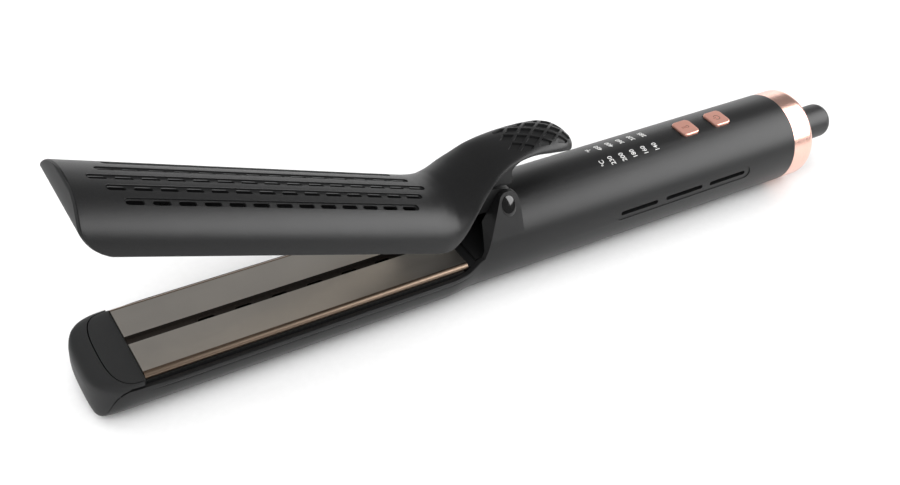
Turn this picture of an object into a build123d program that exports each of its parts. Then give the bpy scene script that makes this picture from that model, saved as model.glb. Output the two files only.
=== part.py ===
from build123d import *
import math
import os

os.makedirs("parts", exist_ok=True)

# ---------------------------------------------------------------- dimensions
# Millimetres. +X runs from the plates to the cord end, +Y to the far side,
# +Z up. The object stands on z = 0 and its box is centred on the origin.
XC = 124.35            # box centre, taken off every x at the end

# handle tube
R_TUBE = 19.0          # outer radius
R_BORE = 17.0          # inner radius
Z_AX = 19.0            # height of the handle's axis
X_CRADLE = 100.0       # front of the cradle under the hinge
X_TUBE = 117.5         # front of the closed tube
X_RING = 258.15        # tube ends, ring starts
X_RING_END = 270.3
X_END = 294.7          # end of the cord swivel

# hinge
X_PIN, Z_PIN = 113.0, 37.8
R_PIN = 2.0
OPEN = 19.8            # opening angle of the upper arm at rest, degrees
EAR_TAN = 62.7         # angle from the top where the ear's face leaves the tube
EAR_TOP = 42.7
EAR_IN = 7.7           # half gap between the ears

# lower arm
W_ARM = 19.9           # half width of both arms
Z_RIM = 17.5           # rim of the lower shell
N_LOW = 2.05           # roundness of the lower section
Z_STEP = 15.6          # fine line moulded along the lower shell
T_WALL = 1.8
X_BLEND = 88.0         # where the lower shell starts to turn into the tube
Z_PLATE = 20.63        # top of the lower plate
GAP = 0.30             # between the plates when closed
Z_MID = Z_PLATE + GAP / 2
X_PL0, X_PL1 = -27.6, 94.2       # lower plate
X_PU0, X_PU1 = -30.0, 83.0       # upper plate
HW_GROOVE = 1.87
X_NOSE = -45.4

# upper arm, drawn closed
Z_RIM_U = 22.4
Z_DOME = 36.9
N_UP = 2.2
X_TIP_U = -49.3

# openings in the upper shell
SLOT_L, SLOT_W = 5.7, 1.5
SLOT_PITCH = 8.34
ROWS = [(0.0, -41.7, 15), (5.0, -37.5, 14), (-5.0, -37.5, 14), (10.2, -33.3, 13), (-10.2, -33.3, 13)]
ROW_FLOOR = {0.0: 36.15, 5.0: 35.7, -5.0: 35.7, 10.2: 34.25, -10.2: 34.25}

# sections of the two trays: half width, depth below the plate's face
TRAY_LOW = [(0, 10.6), (15.0, 10.6), (17.1, 8.0), (17.45, 5.2), (17.45, 2.3), (15.3, 2.3), (15.3, 6.0), (14.2, 9.2), (0, 9.2)]
TRAY_UP = [(0, 9.0), (14.6, 9.0), (16.0, 7.5), (17.2, 5.0), (17.6, 2.3), (15.3, 2.3), (15.3, 5.4), (14.2, 7.6), (0, 7.6)]

# buttons and side vents of the handle
X_BUTTONS = (208.15, 225.15)
BTN = 9.0
SIDE_VENTS = ((164.1, 182.8), (187.1, 206.3), (210.3, 229.6))
Z_VENT = 21.6
X_RECESS = (161.4, 232.4)  # shallow recess around the three vents
H_RECESS = 5.4
X_ROWS = (166.55, 172.05, 177.55, 183.15, 188.85)

# cord swivel
R_KNOB, R_NECK, R_CORD = 7.4, 5.0, 3.5

HINGE = Axis((X_PIN, 0, Z_PIN), (0, 1, 0))


def half_curve(w, z_base, z_top, n, count=17):
    """Points of half a superellipse, from y=+w over z_top to y=-w."""
    pts = []
    for i in range(count):
        a = math.pi * i / (count - 1)
        c, s = math.cos(a), math.sin(a)
        pts.append((w * math.copysign(abs(c) ** (2 / n), c), z_base + (z_top - z_base) * abs(s) ** (2 / n)))
    return pts


def arch(w, z_base, z_top, n, count=17):
    """Face between half a superellipse and its base line."""
    pts = half_curve(w, z_base, z_top, n, count)
    with BuildSketch() as face:
        with BuildLine():
            Spline(*pts)
            Line(pts[-1], pts[0])
        make_face()
    return face.sketch


def outline(*pts):
    """Face inside a closed polygon."""
    with BuildSketch() as face:
        with BuildLine():
            Polyline(*pts, close=True)
        make_face()
    return face.sketch


def plate_profile(z, up):
    """Section of a heater plate: two flats, a groove between them, rolled edges.

    z is the working face and up is +1 where that face looks up."""
    with BuildSketch() as face:
        for sgn in (1, -1):
            q = [(sgn * y, z - up * d) for y, d in (
                (0, 1.73), (HW_GROOVE, 1.73), (HW_GROOVE, 0), (15.15, 0), (16.5, 0.42), (17.0, 1.33), (16.9, 2.1),
                (15.9, 2.1), (15.7, 1.6), (15.2, 1.3), (3.1, 1.3), (3.1, 2.73), (0, 2.73))]
            with BuildLine():
                Polyline(*q[0:4])
                ThreePointArc(q[3], q[4], q[5])
                Polyline(*q[5:], q[0])
            make_face()
    return face.sketch


def carrier_profile(z0, up, rows):
    """Section of the tray that holds a plate. rows are (half width, depth) from the plate's face z0."""
    with BuildSketch() as face:
        for sgn in (1, -1):
            with BuildLine():
                Polyline(*[(sgn * y, z0 - up * d) for y, d in rows], close=True)
            make_face()
    return face.sketch


def finish(part, name, turn=False):
    """Put a finished piece at its place in the rest pose and write it."""
    p = part.rotate(HINGE, OPEN) if turn else part
    p = p.moved(Location((-XC, 0, 0)))
    p.label = name
    export_step(p, "parts/%s.step" % name)


# =============================================================== LOWER ARM
# joint between the lower shell and its nose, seen from the side
JOINT = [(-28.2, 18.2), (-32.6, 18.2), (-35.2, 17.1), (-37.2, 14.9), (-39.1, 11.0), (-40.8, 6.0), (-42.4, 0.0), (-44.0, -5.0)]
NOSE_PLAN = [(-26.0 + (X_NOSE + 26.0) * abs(math.cos(a)) ** (2 / 2.6), 19.95 * math.copysign(abs(math.sin(a)) ** (2 / 2.6), a))
             for a in [math.radians(-90 + 7.5 * i) for i in range(25)]]
NOSE_SIDE = [(-38.5, 20.3), (-41.5, 19.7), (-44.0, 17.9), (-45.2, 15.0), (-45.3, 12.0), (-44.7, 7.5),
             (-43.5, 3.6), (-42.0, 1.2), (-40.0, 0.0)]

with BuildPart() as lower_shell:
    with BuildSketch(Plane.YZ.offset(-44)):
        add(arch(W_ARM, Z_RIM, -0.3, N_LOW))
    extrude(amount=X_BLEND + 44)
    with BuildSketch(Plane.YZ.offset(X_BLEND)):
        add(arch(W_ARM, Z_RIM, -0.3, N_LOW))
    with BuildSketch(Plane.YZ.offset((X_BLEND + X_CRADLE) / 2)):
        add(arch(19.5, 18.0, -0.15, 2.03))
    with BuildSketch(Plane.YZ.offset(X_CRADLE)):
        add(arch(R_TUBE, 19.0, 0.0, 2.0))
    loft()
    with BuildSketch(Plane.YZ.offset(-42)):
        add(arch(W_ARM - T_WALL, Z_RIM + 0.01, -0.3 + T_WALL, N_LOW))
    extrude(amount=X_BLEND + 42, mode=Mode.SUBTRACT)
    with BuildSketch(Plane.YZ.offset(X_BLEND)):
        add(arch(W_ARM - T_WALL, Z_RIM + 0.01, -0.3 + T_WALL, N_LOW))
    with BuildSketch(Plane.YZ.offset((X_BLEND + X_CRADLE) / 2)):
        add(arch(17.6, 18.01, 1.7, 2.03))
    with BuildSketch(Plane.YZ.offset(X_CRADLE)):
        add(arch(R_BORE, 19.01, 2.0, 2.0))
    loft(mode=Mode.SUBTRACT)
    # screw posts for the tray
    for x in (-18.0, 33.9, 86.0):
        with BuildSketch(Plane.XY.offset(0.8)):
            with Locations((x, 0)):
                Circle(3.0)
        extrude(amount=10.03 - 0.8 - 0.0)
        with BuildSketch(Plane.XY.offset(3.0)):
            with Locations((x, 0)):
                Circle(1.2)
        extrude(amount=10, mode=Mode.SUBTRACT)
    # the slanted front end, where the nose takes over, and the flat underside
    with BuildSketch(Plane.XY.offset(-2)):
        with BuildLine():
            Spline(*NOSE_PLAN)
            Polyline(NOSE_PLAN[-1], (-10, 19.95), (-10, 30), (120, 30), (120, -30), (-10, -30), (-10, -19.95), NOSE_PLAN[0])
        make_face()
    extrude(amount=30, mode=Mode.INTERSECT)
    with BuildSketch(Plane.XZ.offset(-30)):
        with BuildLine():
            Spline(*NOSE_SIDE)
            Polyline(NOSE_SIDE[-1], (120, 0), (120, 30), (-38.5, 30), NOSE_SIDE[0])
        make_face()
    extrude(amount=60, mode=Mode.INTERSECT)
    with BuildSketch(Plane.XZ.offset(-30)):
        add(outline((-70, 30), (-28.2, 30), *JOINT, (-70, -5)))
    extrude(amount=60, mode=Mode.SUBTRACT)
    split(bisect_by=Plane.XY, keep=Keep.TOP)
    # fine line along both sides
    with BuildSketch(Plane.YZ.offset(-50)):
        with Locations((W_ARM, Z_STEP), (-W_ARM, Z_STEP)):
            Rectangle(1.0, 0.4)
    extrude(amount=50 + 86, mode=Mode.SUBTRACT)
finish(lower_shell.part, "lower_arm_shell")

C_SEAM = [(-28.0 - 9.6 * abs(math.cos(a)) ** (2 / 3.0), 17.8 * math.copysign(abs(math.sin(a)) ** (2 / 3.0), a))
          for a in [math.radians(-90 + 10 * i) for i in range(19)]]
C_FILL = [(-28.0 - 9.45 * abs(math.cos(a)) ** (2 / 3.0), 17.65 * math.copysign(abs(math.sin(a)) ** (2 / 3.0), a))
          for a in [math.radians(-90 + 10 * i) for i in range(19)]]

with BuildPart() as lower_tip:
    with BuildSketch(Plane.XY.offset(-1)):
        with BuildLine():
            Spline(*NOSE_PLAN)
            Polyline(NOSE_PLAN[-1], (-20, 19.95), (-20, -19.95), NOSE_PLAN[0])
        make_face()
    extrude(amount=24)
    with BuildSketch(Plane.XZ.offset(-30)):
        with BuildLine():
            Spline(*NOSE_SIDE)
            Polyline(NOSE_SIDE[-1], (-20, 0), (-20, 20.3), NOSE_SIDE[0])
        make_face()
    extrude(amount=60, mode=Mode.INTERSECT)
    with BuildSketch(Plane.YZ.offset(-60)):
        lo = half_curve(W_ARM, Z_RIM, -0.3, N_LOW)
        hi = half_curve(W_ARM, Z_RIM, 20.3, 3.2)
        with BuildLine():
            Spline(*lo)
            Spline(*hi)
        make_face()
    extrude(amount=60, mode=Mode.INTERSECT)
    # everything behind the slanted joint line belongs to the shell
    with BuildSketch(Plane.XZ.offset(-30)):
        add(outline((-28.35, 30), *[(x - 0.15, z + 0.05) for x, z in JOINT], (0, -5), (0, 30)))
    extrude(amount=60, mode=Mode.SUBTRACT)
    # pocket of the insert
    with BuildSketch(Plane.XY.offset(15.0)):
        with BuildLine():
            Spline(*C_SEAM)
            Polyline(C_SEAM[-1], (-20, 17.8), (-20, -17.8), C_SEAM[0])
        make_face()
    extrude(amount=10, mode=Mode.SUBTRACT)
finish(lower_tip.part, "lower_tip_cap")

with BuildPart() as lower_insert:
    with BuildSketch(Plane.XY.offset(15.0)):
        with BuildLine():
            Spline(*C_FILL)
            Polyline(C_FILL[-1], (-27.7, 17.65), (-27.7, -17.65), C_FILL[0])
        make_face()
    extrude(amount=8)
    with BuildSketch(Plane.YZ.offset(-60)):
        hi = half_curve(W_ARM, Z_RIM, 20.3, 3.2)
        with BuildLine():
            Spline(*hi)
            Polyline(hi[-1], (-W_ARM, 10), (W_ARM, 10), hi[0])
        make_face()
    extrude(amount=60, mode=Mode.INTERSECT)
    # rib that stiffens the insert from below
    with BuildSketch(Plane.XY.offset(11.5)):
        with Locations((-31.5, 0)):
            Rectangle(2.4, 20)
    extrude(amount=3.6)
finish(lower_insert.part, "lower_tip_insert")

with BuildPart() as lower_plate:
    with BuildSketch(Plane.YZ.offset(X_PL0)):
        add(plate_profile(Z_PLATE, 1))
    extrude(amount=X_PL1 - X_PL0)
    with BuildSketch(Plane.XY.offset(Z_PLATE - 4)):
        with Locations(*[(13.55 * i, 0) for i in range(7)]):
            SlotOverall(6.0, 1.6)
    extrude(amount=3, mode=Mode.SUBTRACT)
finish(lower_plate.part, "lower_heater_plate")

with BuildPart() as lower_carrier:
    with BuildSketch(Plane.YZ.offset(X_PL0)):
        add(carrier_profile(Z_PLATE, 1, TRAY_LOW))
    extrude(amount=92.4 - X_PL0)
    # ribs under the pads
    for x in (-8, 20, 48, 76):
        with BuildSketch(Plane.YZ.offset(x)):
            with Locations((9, 12.6), (-9, 12.6)):
                Rectangle(9, 5.2)
        extrude(amount=2)
    # air slots and screw holes in the floor
    with BuildSketch(Plane.XY.offset(9.0)):
        with Locations(*[(13.55 * i, 0) for i in range(7)]):
            SlotOverall(6.0, 2.6)
    extrude(amount=4, mode=Mode.SUBTRACT)
    with BuildSketch(Plane.XY.offset(9.0)):
        with Locations((-18.0, 0), (33.9, 0), (86.0, 0)):
            Circle(1.4)
    extrude(amount=4, mode=Mode.SUBTRACT)
finish(lower_carrier.part, "lower_plate_carrier")

with BuildPart() as lower_elements:
    with BuildSketch(Plane.XY.offset(Z_PLATE - 1.3 - 2.4)):
        with Locations((36, 9.1), (36, -9.1)):
            Rectangle(96, 10)
    extrude(amount=2.4)
finish(lower_elements.part, "lower_heater_elements")

with BuildPart() as lower_pads:
    with BuildSketch(Plane.XY.offset(15.2)):
        with Locations((36, 9.1), (36, -9.1)):
            Rectangle(96, 10)
    extrude(amount=Z_PLATE - 3.7 - 15.2)
finish(lower_pads.part, "lower_insulator_pads")

with BuildPart() as lower_ntc:
    with BuildSketch(Plane.XY.offset(Z_PLATE - 1.3 - 1.6)):
        with Locations((88.5, 7.0)):
            RectangleRounded(4.5, 2.6, 0.8)
    extrude(amount=1.6)
finish(lower_ntc.part, "lower_thermistor")

with BuildPart() as lower_screws:
    for x in (-18.0, 33.9, 86.0):
        with BuildSketch(Plane.XY.offset(3.4)):
            with Locations((x, 0)):
                Circle(1.15)
        extrude(amount=8.1)
        with BuildSketch(Plane.XY.offset(11.43)):
            with Locations((x, 0)):
                Circle(2.5)
        extrude(amount=1.5)
        with BuildSketch(Plane.XY.offset(12.1)):
            with Locations((x, 0)):
                Rectangle(2.8, 0.6)
                Rectangle(0.6, 2.8)
        extrude(amount=2, mode=Mode.SUBTRACT)
finish(lower_screws.part, "lower_screws")

with BuildPart() as rear_insert:
    with BuildSketch(Plane.XZ.offset(-15.2)):
        add(outline((94.4, 12.5), (94.4, 19.4), (98.5, 19.4), (98.5, 20.4), (100.2, 20.4), (100.2, 19.4),
                    (112.0, 19.4), (112.0, 17.4), (96.4, 17.4), (96.4, 12.5)))
    extrude(amount=30.4)
    with BuildSketch(Plane.XZ.offset(-16.9)):
        add(outline((94.4, 17.6), (94.4, 19.4), (99.9, 19.4), (99.9, 17.6)))
    extrude(amount=33.8)
    # way through for the leads
    with BuildSketch(Plane.YZ.offset(94)):
        with Locations((10, 14.9), (-10, 14.9), (0, 14.9)):
            Rectangle(5, 4.6)
    extrude(amount=3, mode=Mode.SUBTRACT)
finish(rear_insert.part, "lower_rear_insert")

# ================================================================= HANDLE
ty = R_TUBE * math.sin(math.radians(EAR_TAN))
tz = Z_AX + R_TUBE * math.cos(math.radians(EAR_TAN))
lean = math.cos(math.radians(EAR_TAN)) / math.sin(math.radians(EAR_TAN))   # dy/dz of the ear's face
y_top = ty - (EAR_TOP - tz) * lean
EAR_SIDE = [(X_CRADLE, -2), (X_CRADLE, 22.0), (103.7, 28.6), (107.4, 36.1), (109.2, 39.9), (110.0, 41.5),
            (111.6, 42.5), (113.6, EAR_TOP), (115.4, 42.4), (117.0, 41.1), (117.6, 39.7), (X_TUBE + 0.6, 36.0),
            (X_TUBE + 0.6, -2)]

with BuildPart() as vent_recess:
    with BuildSketch(Plane.XZ.offset(-25)):
        with Locations(((X_RECESS[0] + X_RECESS[1]) / 2, Z_VENT)):
            SlotOverall(X_RECESS[1] - X_RECESS[0], H_RECESS)
    extrude(amount=50)
    with BuildSketch(Plane.YZ.offset(X_RECESS[0] - 5)):
        with Locations((0, Z_AX)):
            Circle(R_TUBE - 0.3)
    extrude(amount=X_RECESS[1] - X_RECESS[0] + 10, mode=Mode.SUBTRACT)

with BuildPart() as housing:
    with BuildSketch(Plane.YZ.offset(X_CRADLE)):
        with BuildLine():
            Line((y_top, EAR_TOP), (ty, tz))
            ThreePointArc((ty, tz), (0, Z_AX - R_TUBE), (-ty, tz))
            Line((-ty, tz), (-y_top, EAR_TOP))
            Line((-y_top, EAR_TOP), (y_top, EAR_TOP))
        make_face()
    extrude(amount=X_TUBE + 0.6 - X_CRADLE)
    with BuildSketch(Plane.XZ.offset(-30)):
        add(outline(*EAR_SIDE))
    extrude(amount=60, mode=Mode.INTERSECT)
    with BuildSketch(Plane.YZ.offset(X_TUBE)):
        with Locations((0, Z_AX)):
            Circle(R_TUBE)
    extrude(amount=X_RING - X_TUBE)
    # bore of the tube
    with BuildSketch(Plane.YZ.offset(X_TUBE + 0.6)):
        with Locations((0, Z_AX)):
            Circle(R_BORE)
    extrude(amount=X_RING - X_TUBE, mode=Mode.SUBTRACT)
    # inside of the cradle
    with BuildSketch(Plane.YZ.offset(X_CRADLE - 1)):
        ci = math.sqrt(R_BORE ** 2 - 5 ** 2)
        with BuildLine():
            ThreePointArc((ci, 24), (0, Z_AX - R_BORE), (-ci, 24))
            Polyline((-ci, 24), (-EAR_IN, 30.5), (-EAR_IN, 50), (EAR_IN, 50), (EAR_IN, 30.5), (ci, 24))
        make_face()
    extrude(amount=X_TUBE + 1.3 - X_CRADLE + 1, mode=Mode.SUBTRACT)
    # pin hole and cap seats
    with BuildSketch(Plane.XZ.offset(-20)):
        with Locations((X_PIN, Z_PIN)):
            Circle(R_PIN)
    extrude(amount=40, mode=Mode.SUBTRACT)
    for sgn in (1, -1):
        yc = ty - (Z_PIN - tz) * lean
        nrm = Vector(0, sgn * math.sin(math.radians(EAR_TAN)), math.cos(math.radians(EAR_TAN)))
        org = Vector(X_PIN, sgn * yc, Z_PIN)
        with BuildSketch(Plane(origin=org - nrm * 1.0, x_dir=(1, 0, 0), z_dir=nrm)):
            Ellipse(3.0, 4.1, rotation=-8 * sgn)
        extrude(amount=4, mode=Mode.SUBTRACT)
    # button openings
    with BuildSketch(Plane.XY.offset(30)):
        with Locations(*[(x, 0) for x in X_BUTTONS]):
            RectangleRounded(BTN + 0.5, BTN + 0.5, 2.4)
    extrude(amount=12, mode=Mode.SUBTRACT)
    # shallow recess around the side vents, then the vents on both sides
    add(vent_recess.part, mode=Mode.SUBTRACT)
    with BuildSketch(Plane.XZ.offset(-25)):
        for a, b in SIDE_VENTS:
            with Locations(((a + b) / 2, Z_VENT)):
                SlotOverall(b - a, 1.7)
    extrude(amount=50, mode=Mode.SUBTRACT)
finish(housing.part, "handle_housing")

with BuildPart() as bulkhead:
    with BuildSketch(Plane.YZ.offset(119.2)):
        with Locations((0, Z_AX)):
            Circle(R_BORE - 0.05)
        with Locations((0, 12)):
            SlotOverall(16, 9, mode=Mode.SUBTRACT)
        with Locations((10, 6.64), (-10, 6.64)):
            Circle(1.0, mode=Mode.SUBTRACT)
        with Locations((-3.03, Z_PIN - 3.6)):
            Circle(0.75, mode=Mode.SUBTRACT)
        with Locations((0, 25)):
            SlotOverall(10, 5, mode=Mode.SUBTRACT)
    extrude(amount=2.6)
finish(bulkhead.part, "front_bulkhead")

with BuildPart() as shroud:
    with BuildSketch(Plane.YZ.offset(126)):
        with Locations((0, Z_AX)):
            Circle(R_BORE - 0.05)
            Circle(14.0, mode=Mode.SUBTRACT)
    extrude(amount=20)
    with BuildSketch(Plane.YZ.offset(141.5)):
        with Locations((0, Z_AX)):
            with PolarLocations(11.4, 3, start_angle=90):
                Rectangle(6.2, 2.2)
            Circle(9.4)
            Circle(8.0, mode=Mode.SUBTRACT)
    extrude(amount=4.5)
    with BuildSketch(Plane.YZ.offset(125)):
        with Locations((10, 5.4), (-10, 5.4)):
            Rectangle(2.6, 4.6)
    extrude(amount=22, mode=Mode.SUBTRACT)
finish(shroud.part, "fan_shroud")

with BuildPart() as motor:
    with BuildSketch(Plane.YZ.offset(139.2)):
        with Locations((0, Z_AX)):
            Circle(8.0)
    extrude(amount=13)
    fillet(motor.edges().group_by(Axis.X)[-1], 1.0)
    with BuildSketch(Plane.YZ.offset(139)):
        with Locations((0, Z_AX)):
            Circle(1.05)
    extrude(amount=11, mode=Mode.SUBTRACT)
finish(motor.part, "fan_motor")

with BuildPart() as shaft:
    with BuildSketch(Plane.YZ.offset(130)):
        with Locations((0, Z_AX)):
            Circle(1.0)
    extrude(amount=19)
finish(shaft.part, "fan_shaft")

with BuildPart(Plane.YZ.offset(133)) as impeller:
    with Locations((0, Z_AX, 0)):
        Cylinder(6.0, 8.4)
        with PolarLocations(9.4, 7):
            Box(7.6, 0.9, 8.0, rotation=(36, 0, 0))
        Cylinder(1.0, 20, mode=Mode.SUBTRACT)
finish(impeller.part, "fan_impeller")

with BuildPart() as chassis:
    with BuildSketch(Plane.YZ.offset(160)):
        with Locations((0, Z_AX)):
            Circle(R_BORE - 0.05)
            Circle(15.6, mode=Mode.SUBTRACT)
        with Locations((0, 35)):
            Rectangle(40, 38, mode=Mode.SUBTRACT)
    extrude(amount=86)
    for x in (163, 200, 238):
        with BuildSketch(Plane.XY.offset(8.0)):
            with Locations((x, 11.4), (x, -11.4)):
                Rectangle(3.0, 2.6)
        extrude(amount=19.2)
        with BuildSketch(Plane.YZ.offset(x - 1.5)):
            with Locations((0, 5.5)):
                Rectangle(25.4, 5.0)
        extrude(amount=3.0)
    with BuildSketch(Plane.YZ.offset(150)):
        with Locations((0, Z_AX)):
            Circle(R_BORE + 6)
            Circle(R_BORE - 0.05, mode=Mode.SUBTRACT)
    extrude(amount=100, mode=Mode.SUBTRACT)
finish(chassis.part, "inner_chassis")

with BuildPart() as pcb:
    with BuildSketch(Plane.XY.offset(27.2)):
        with Locations((198, 0)):
            RectangleRounded(84, 25, 2)
        with Locations((158.2, 10), (158.2, -10)):
            Circle(0.9, mode=Mode.SUBTRACT)
    extrude(amount=1.6)
finish(pcb.part, "main_pcb")

with BuildPart() as switches:
    for x in X_BUTTONS:
        with BuildSketch(Plane.XY.offset(28.8)):
            with Locations((x, 0)):
                Rectangle(6, 6)
        extrude(amount=3.2)
        with BuildSketch(Plane.XY.offset(32.0)):
            with Locations((x, 0)):
                Circle(1.7)
        extrude(amount=0.9)
finish(switches.part, "tact_switches")

with BuildPart() as leds:
    with BuildSketch(Plane.XY.offset(28.8)):
        with Locations(*[(x, 0) for x in X_ROWS]):
            Rectangle(1.6, 2.4)
    extrude(amount=0.8)
finish(leds.part, "indicator_leds")

with BuildPart() as guide:
    with BuildSketch(Plane.XY.offset(29.9)):
        with Locations((177.7, 0)):
            RectangleRounded(28, 12, 1.0)
    extrude(amount=1.4)
    with BuildSketch(Plane.XY.offset(31.0)):
        with Locations(*[(x, 0) for x in X_ROWS]):
            RectangleRounded(2.4, 10.5, 0.8)
    extrude(amount=3.9)
    for x in (165.2, 190.2):
        with BuildSketch(Plane.XY.offset(28.8)):
            with Locations((x, 4.5), (x, -4.5)):
                Circle(0.8)
        extrude(amount=1.4)
finish(guide.part, "indicator_light_guide")

with BuildPart() as btn_power:
    with BuildSketch(Plane.XY.offset(33.7)):
        with Locations((X_BUTTONS[1], 0)):
            RectangleRounded(11.4, 11.0, 1.5)
    extrude(amount=1.0)
    with BuildSketch(Plane.XY.offset(34.7)):
        with Locations((X_BUTTONS[1], 0)):
            RectangleRounded(BTN, BTN, 2.2)
    extrude(amount=3.9)
    fillet(btn_power.edges().group_by(Axis.Z)[-1], 0.5)
finish(btn_power.part, "power_button")

with BuildPart() as btn_temp:
    with BuildSketch(Plane.XY.offset(33.7)):
        with Locations((X_BUTTONS[0], 0)):
            RectangleRounded(11.4, 11.0, 1.5)
    extrude(amount=1.0)
    with BuildSketch(Plane.XY.offset(34.7)):
        with Locations((X_BUTTONS[0], 0)):
            RectangleRounded(BTN, BTN, 2.2)
    extrude(amount=3.9)
    fillet(btn_temp.edges().group_by(Axis.Z)[-1], 0.5)
finish(btn_temp.part, "temperature_button")

with BuildPart() as leads:
    for s in (1, -1):
        with BuildLine() as run:
            FilletPolyline((84.15, s * 10, 15.9), (98.5, s * 10, 15.0), (108.0, s * 10, 6.64), (158.2, s * 10, 6.64),
                           (158.2, s * 10, 28.8), radius=3.0)
        with BuildSketch(Plane(origin=run.line @ 0, z_dir=run.line % 0)):
            Circle(0.8)
        sweep(path=run.line)
finish(leads.part, "heater_leads")

with BuildPart() as ring:
    with BuildSketch(Plane.YZ.offset(X_RING)):
        with Locations((0, Z_AX)):
            Circle(R_TUBE)
    extrude(amount=X_RING_END - X_RING)
    fillet(ring.edges().group_by(Axis.X)[-1], 3.0)
    with BuildSketch(Plane.YZ.offset(X_RING)):
        with Locations((0, Z_AX)):
            Circle(16.6)
    extrude(amount=8.3, mode=Mode.SUBTRACT)
    with BuildSketch(Plane.YZ.offset(X_RING)):
        with Locations((0, Z_AX)):
            Circle(8.4)
    extrude(amount=20, mode=Mode.SUBTRACT)
finish(ring.part, "end_ring")

with BuildPart() as cap:
    with BuildSketch(Plane.YZ.offset(249)):
        with Locations((0, Z_AX)):
            Circle(R_BORE - 0.05)
            Circle(15.0, mode=Mode.SUBTRACT)
    extrude(amount=X_RING - 249)
    with BuildSketch(Plane.YZ.offset(X_RING)):
        with Locations((0, Z_AX)):
            Circle(16.5)
    extrude(amount=4)
    with BuildSketch(Plane.YZ.offset(X_RING + 4)):
        with Locations((0, Z_AX)):
            Circle(8.2)
    extrude(amount=4.3)
    with BuildSketch(Plane.YZ.offset(X_RING - 1)):
        with Locations((0, Z_AX)):
            Circle(R_NECK + 0.06)
    extrude(amount=12, mode=Mode.SUBTRACT)
finish(cap.part, "end_cap")

with BuildPart() as swivel:
    with BuildSketch(Plane.YZ.offset(253.5)):
        with Locations((0, Z_AX)):
            Circle(R_NECK)
    extrude(amount=14)
    with BuildSketch(Plane.YZ.offset(267.1)):
        with Locations((0, Z_AX)):
            Circle(R_KNOB)
    extrude(amount=X_END - 267.1)
    fillet(swivel.edges().group_by(Axis.X)[-1], 4.2)
    with BuildSketch(Plane.YZ.offset(256.15)):
        with Locations((0, Z_AX)):
            Circle(R_NECK + 1)
            Circle(4.35, mode=Mode.SUBTRACT)
    extrude(amount=1.7, mode=Mode.SUBTRACT)
    with BuildSketch(Plane.YZ.offset(250)):
        with Locations((0, Z_AX)):
            Circle(R_CORD)
    extrude(amount=60, mode=Mode.SUBTRACT)
finish(swivel.part, "cord_swivel")

with BuildPart() as clip:
    with BuildSketch(Plane.YZ.offset(256.3)):
        with Locations((0, Z_AX)):
            Circle(7.6)
            Circle(4.35, mode=Mode.SUBTRACT)
        with Locations((0, Z_AX - 6)):
            Rectangle(6.6, 8, mode=Mode.SUBTRACT)
    extrude(amount=1.4)
finish(clip.part, "swivel_clip")

# ================================================================== HINGE
with BuildPart() as pin:
    with BuildSketch(Plane.XZ.offset(-9.4)):
        with Locations((X_PIN, Z_PIN)):
            Circle(R_PIN)
    extrude(amount=18.8)
finish(pin.part, "hinge_pin")

with BuildPart() as caps:
    for sgn in (1, -1):
        yc = ty - (Z_PIN - tz) * lean
        nrm = Vector(0, sgn * math.sin(math.radians(EAR_TAN)), math.cos(math.radians(EAR_TAN)))
        org = Vector(X_PIN, sgn * yc, Z_PIN)
        with BuildSketch(Plane(origin=org - nrm * 1.0, x_dir=(1, 0, 0), z_dir=nrm)):
            Ellipse(2.95, 4.05, rotation=-8 * sgn)
        extrude(amount=1.25)
finish(caps.part, "hinge_caps")

with BuildPart() as spring:
    with BuildLine() as coil:
        Helix(pitch=1.3, height=5.2, radius=3.6, center=(X_PIN, 2.6, Z_PIN), direction=(0, -1, 0))
    with BuildSketch(Plane(origin=coil.line @ 0, z_dir=coil.line % 0)):
        Circle(0.5)
    sweep(path=coil.line, is_frenet=True)
    with BuildSketch(Plane(origin=coil.line @ 0, z_dir=coil.line % 0 * -1)):
        Circle(0.5)
    extrude(amount=6.6)
    with BuildSketch(Plane(origin=coil.line @ 1, z_dir=coil.line % 1)):
        Circle(0.5)
    extrude(amount=8.4)
finish(spring.part, "hinge_spring")

# ============================================================== UPPER ARM
TIP_SIDE = [(X_TIP_U, 36.0), (-49.25, 33.5), (-49.0, 31.0), (-48.4, 29.0), (-47.2, 27.4), (-45.4, 25.7), (-43.2, 24.2),
            (-40.8, 23.1), (-38.0, 22.4)]
# x, half width, edge height and top height of the shell behind the dome
LEVER = [(80.0, 19.9, 22.4, 36.9), (84.0, 19.85, 22.5, 37.25), (88.0, 19.25, 23.4, 38.5), (91.0, 18.35, 26.0, 40.9),
         (93.2, 17.4, 29.6, 43.3), (95.4, 15.9, 35.9, 45.9), (98.0, 14.0, 42.0, 48.9), (101.0, 12.3, 47.8, 52.3),
         (104.5, 11.2, 51.5, 55.3), (108.5, 10.4, 54.5, 57.8), (113.0, 9.9, 56.9, 60.2), (118.0, 9.7, 58.6, 62.5),
         (123.0, 9.8, 59.6, 64.2), (128.0, 9.7, 60.5, 65.3), (131.3, 9.2, 60.8, 65.4), (134.3, 7.9, 60.6, 64.8),
         (136.7, 5.9, 60.2, 63.7), (138.6, 2.8, 59.9, 61.9)]

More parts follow.
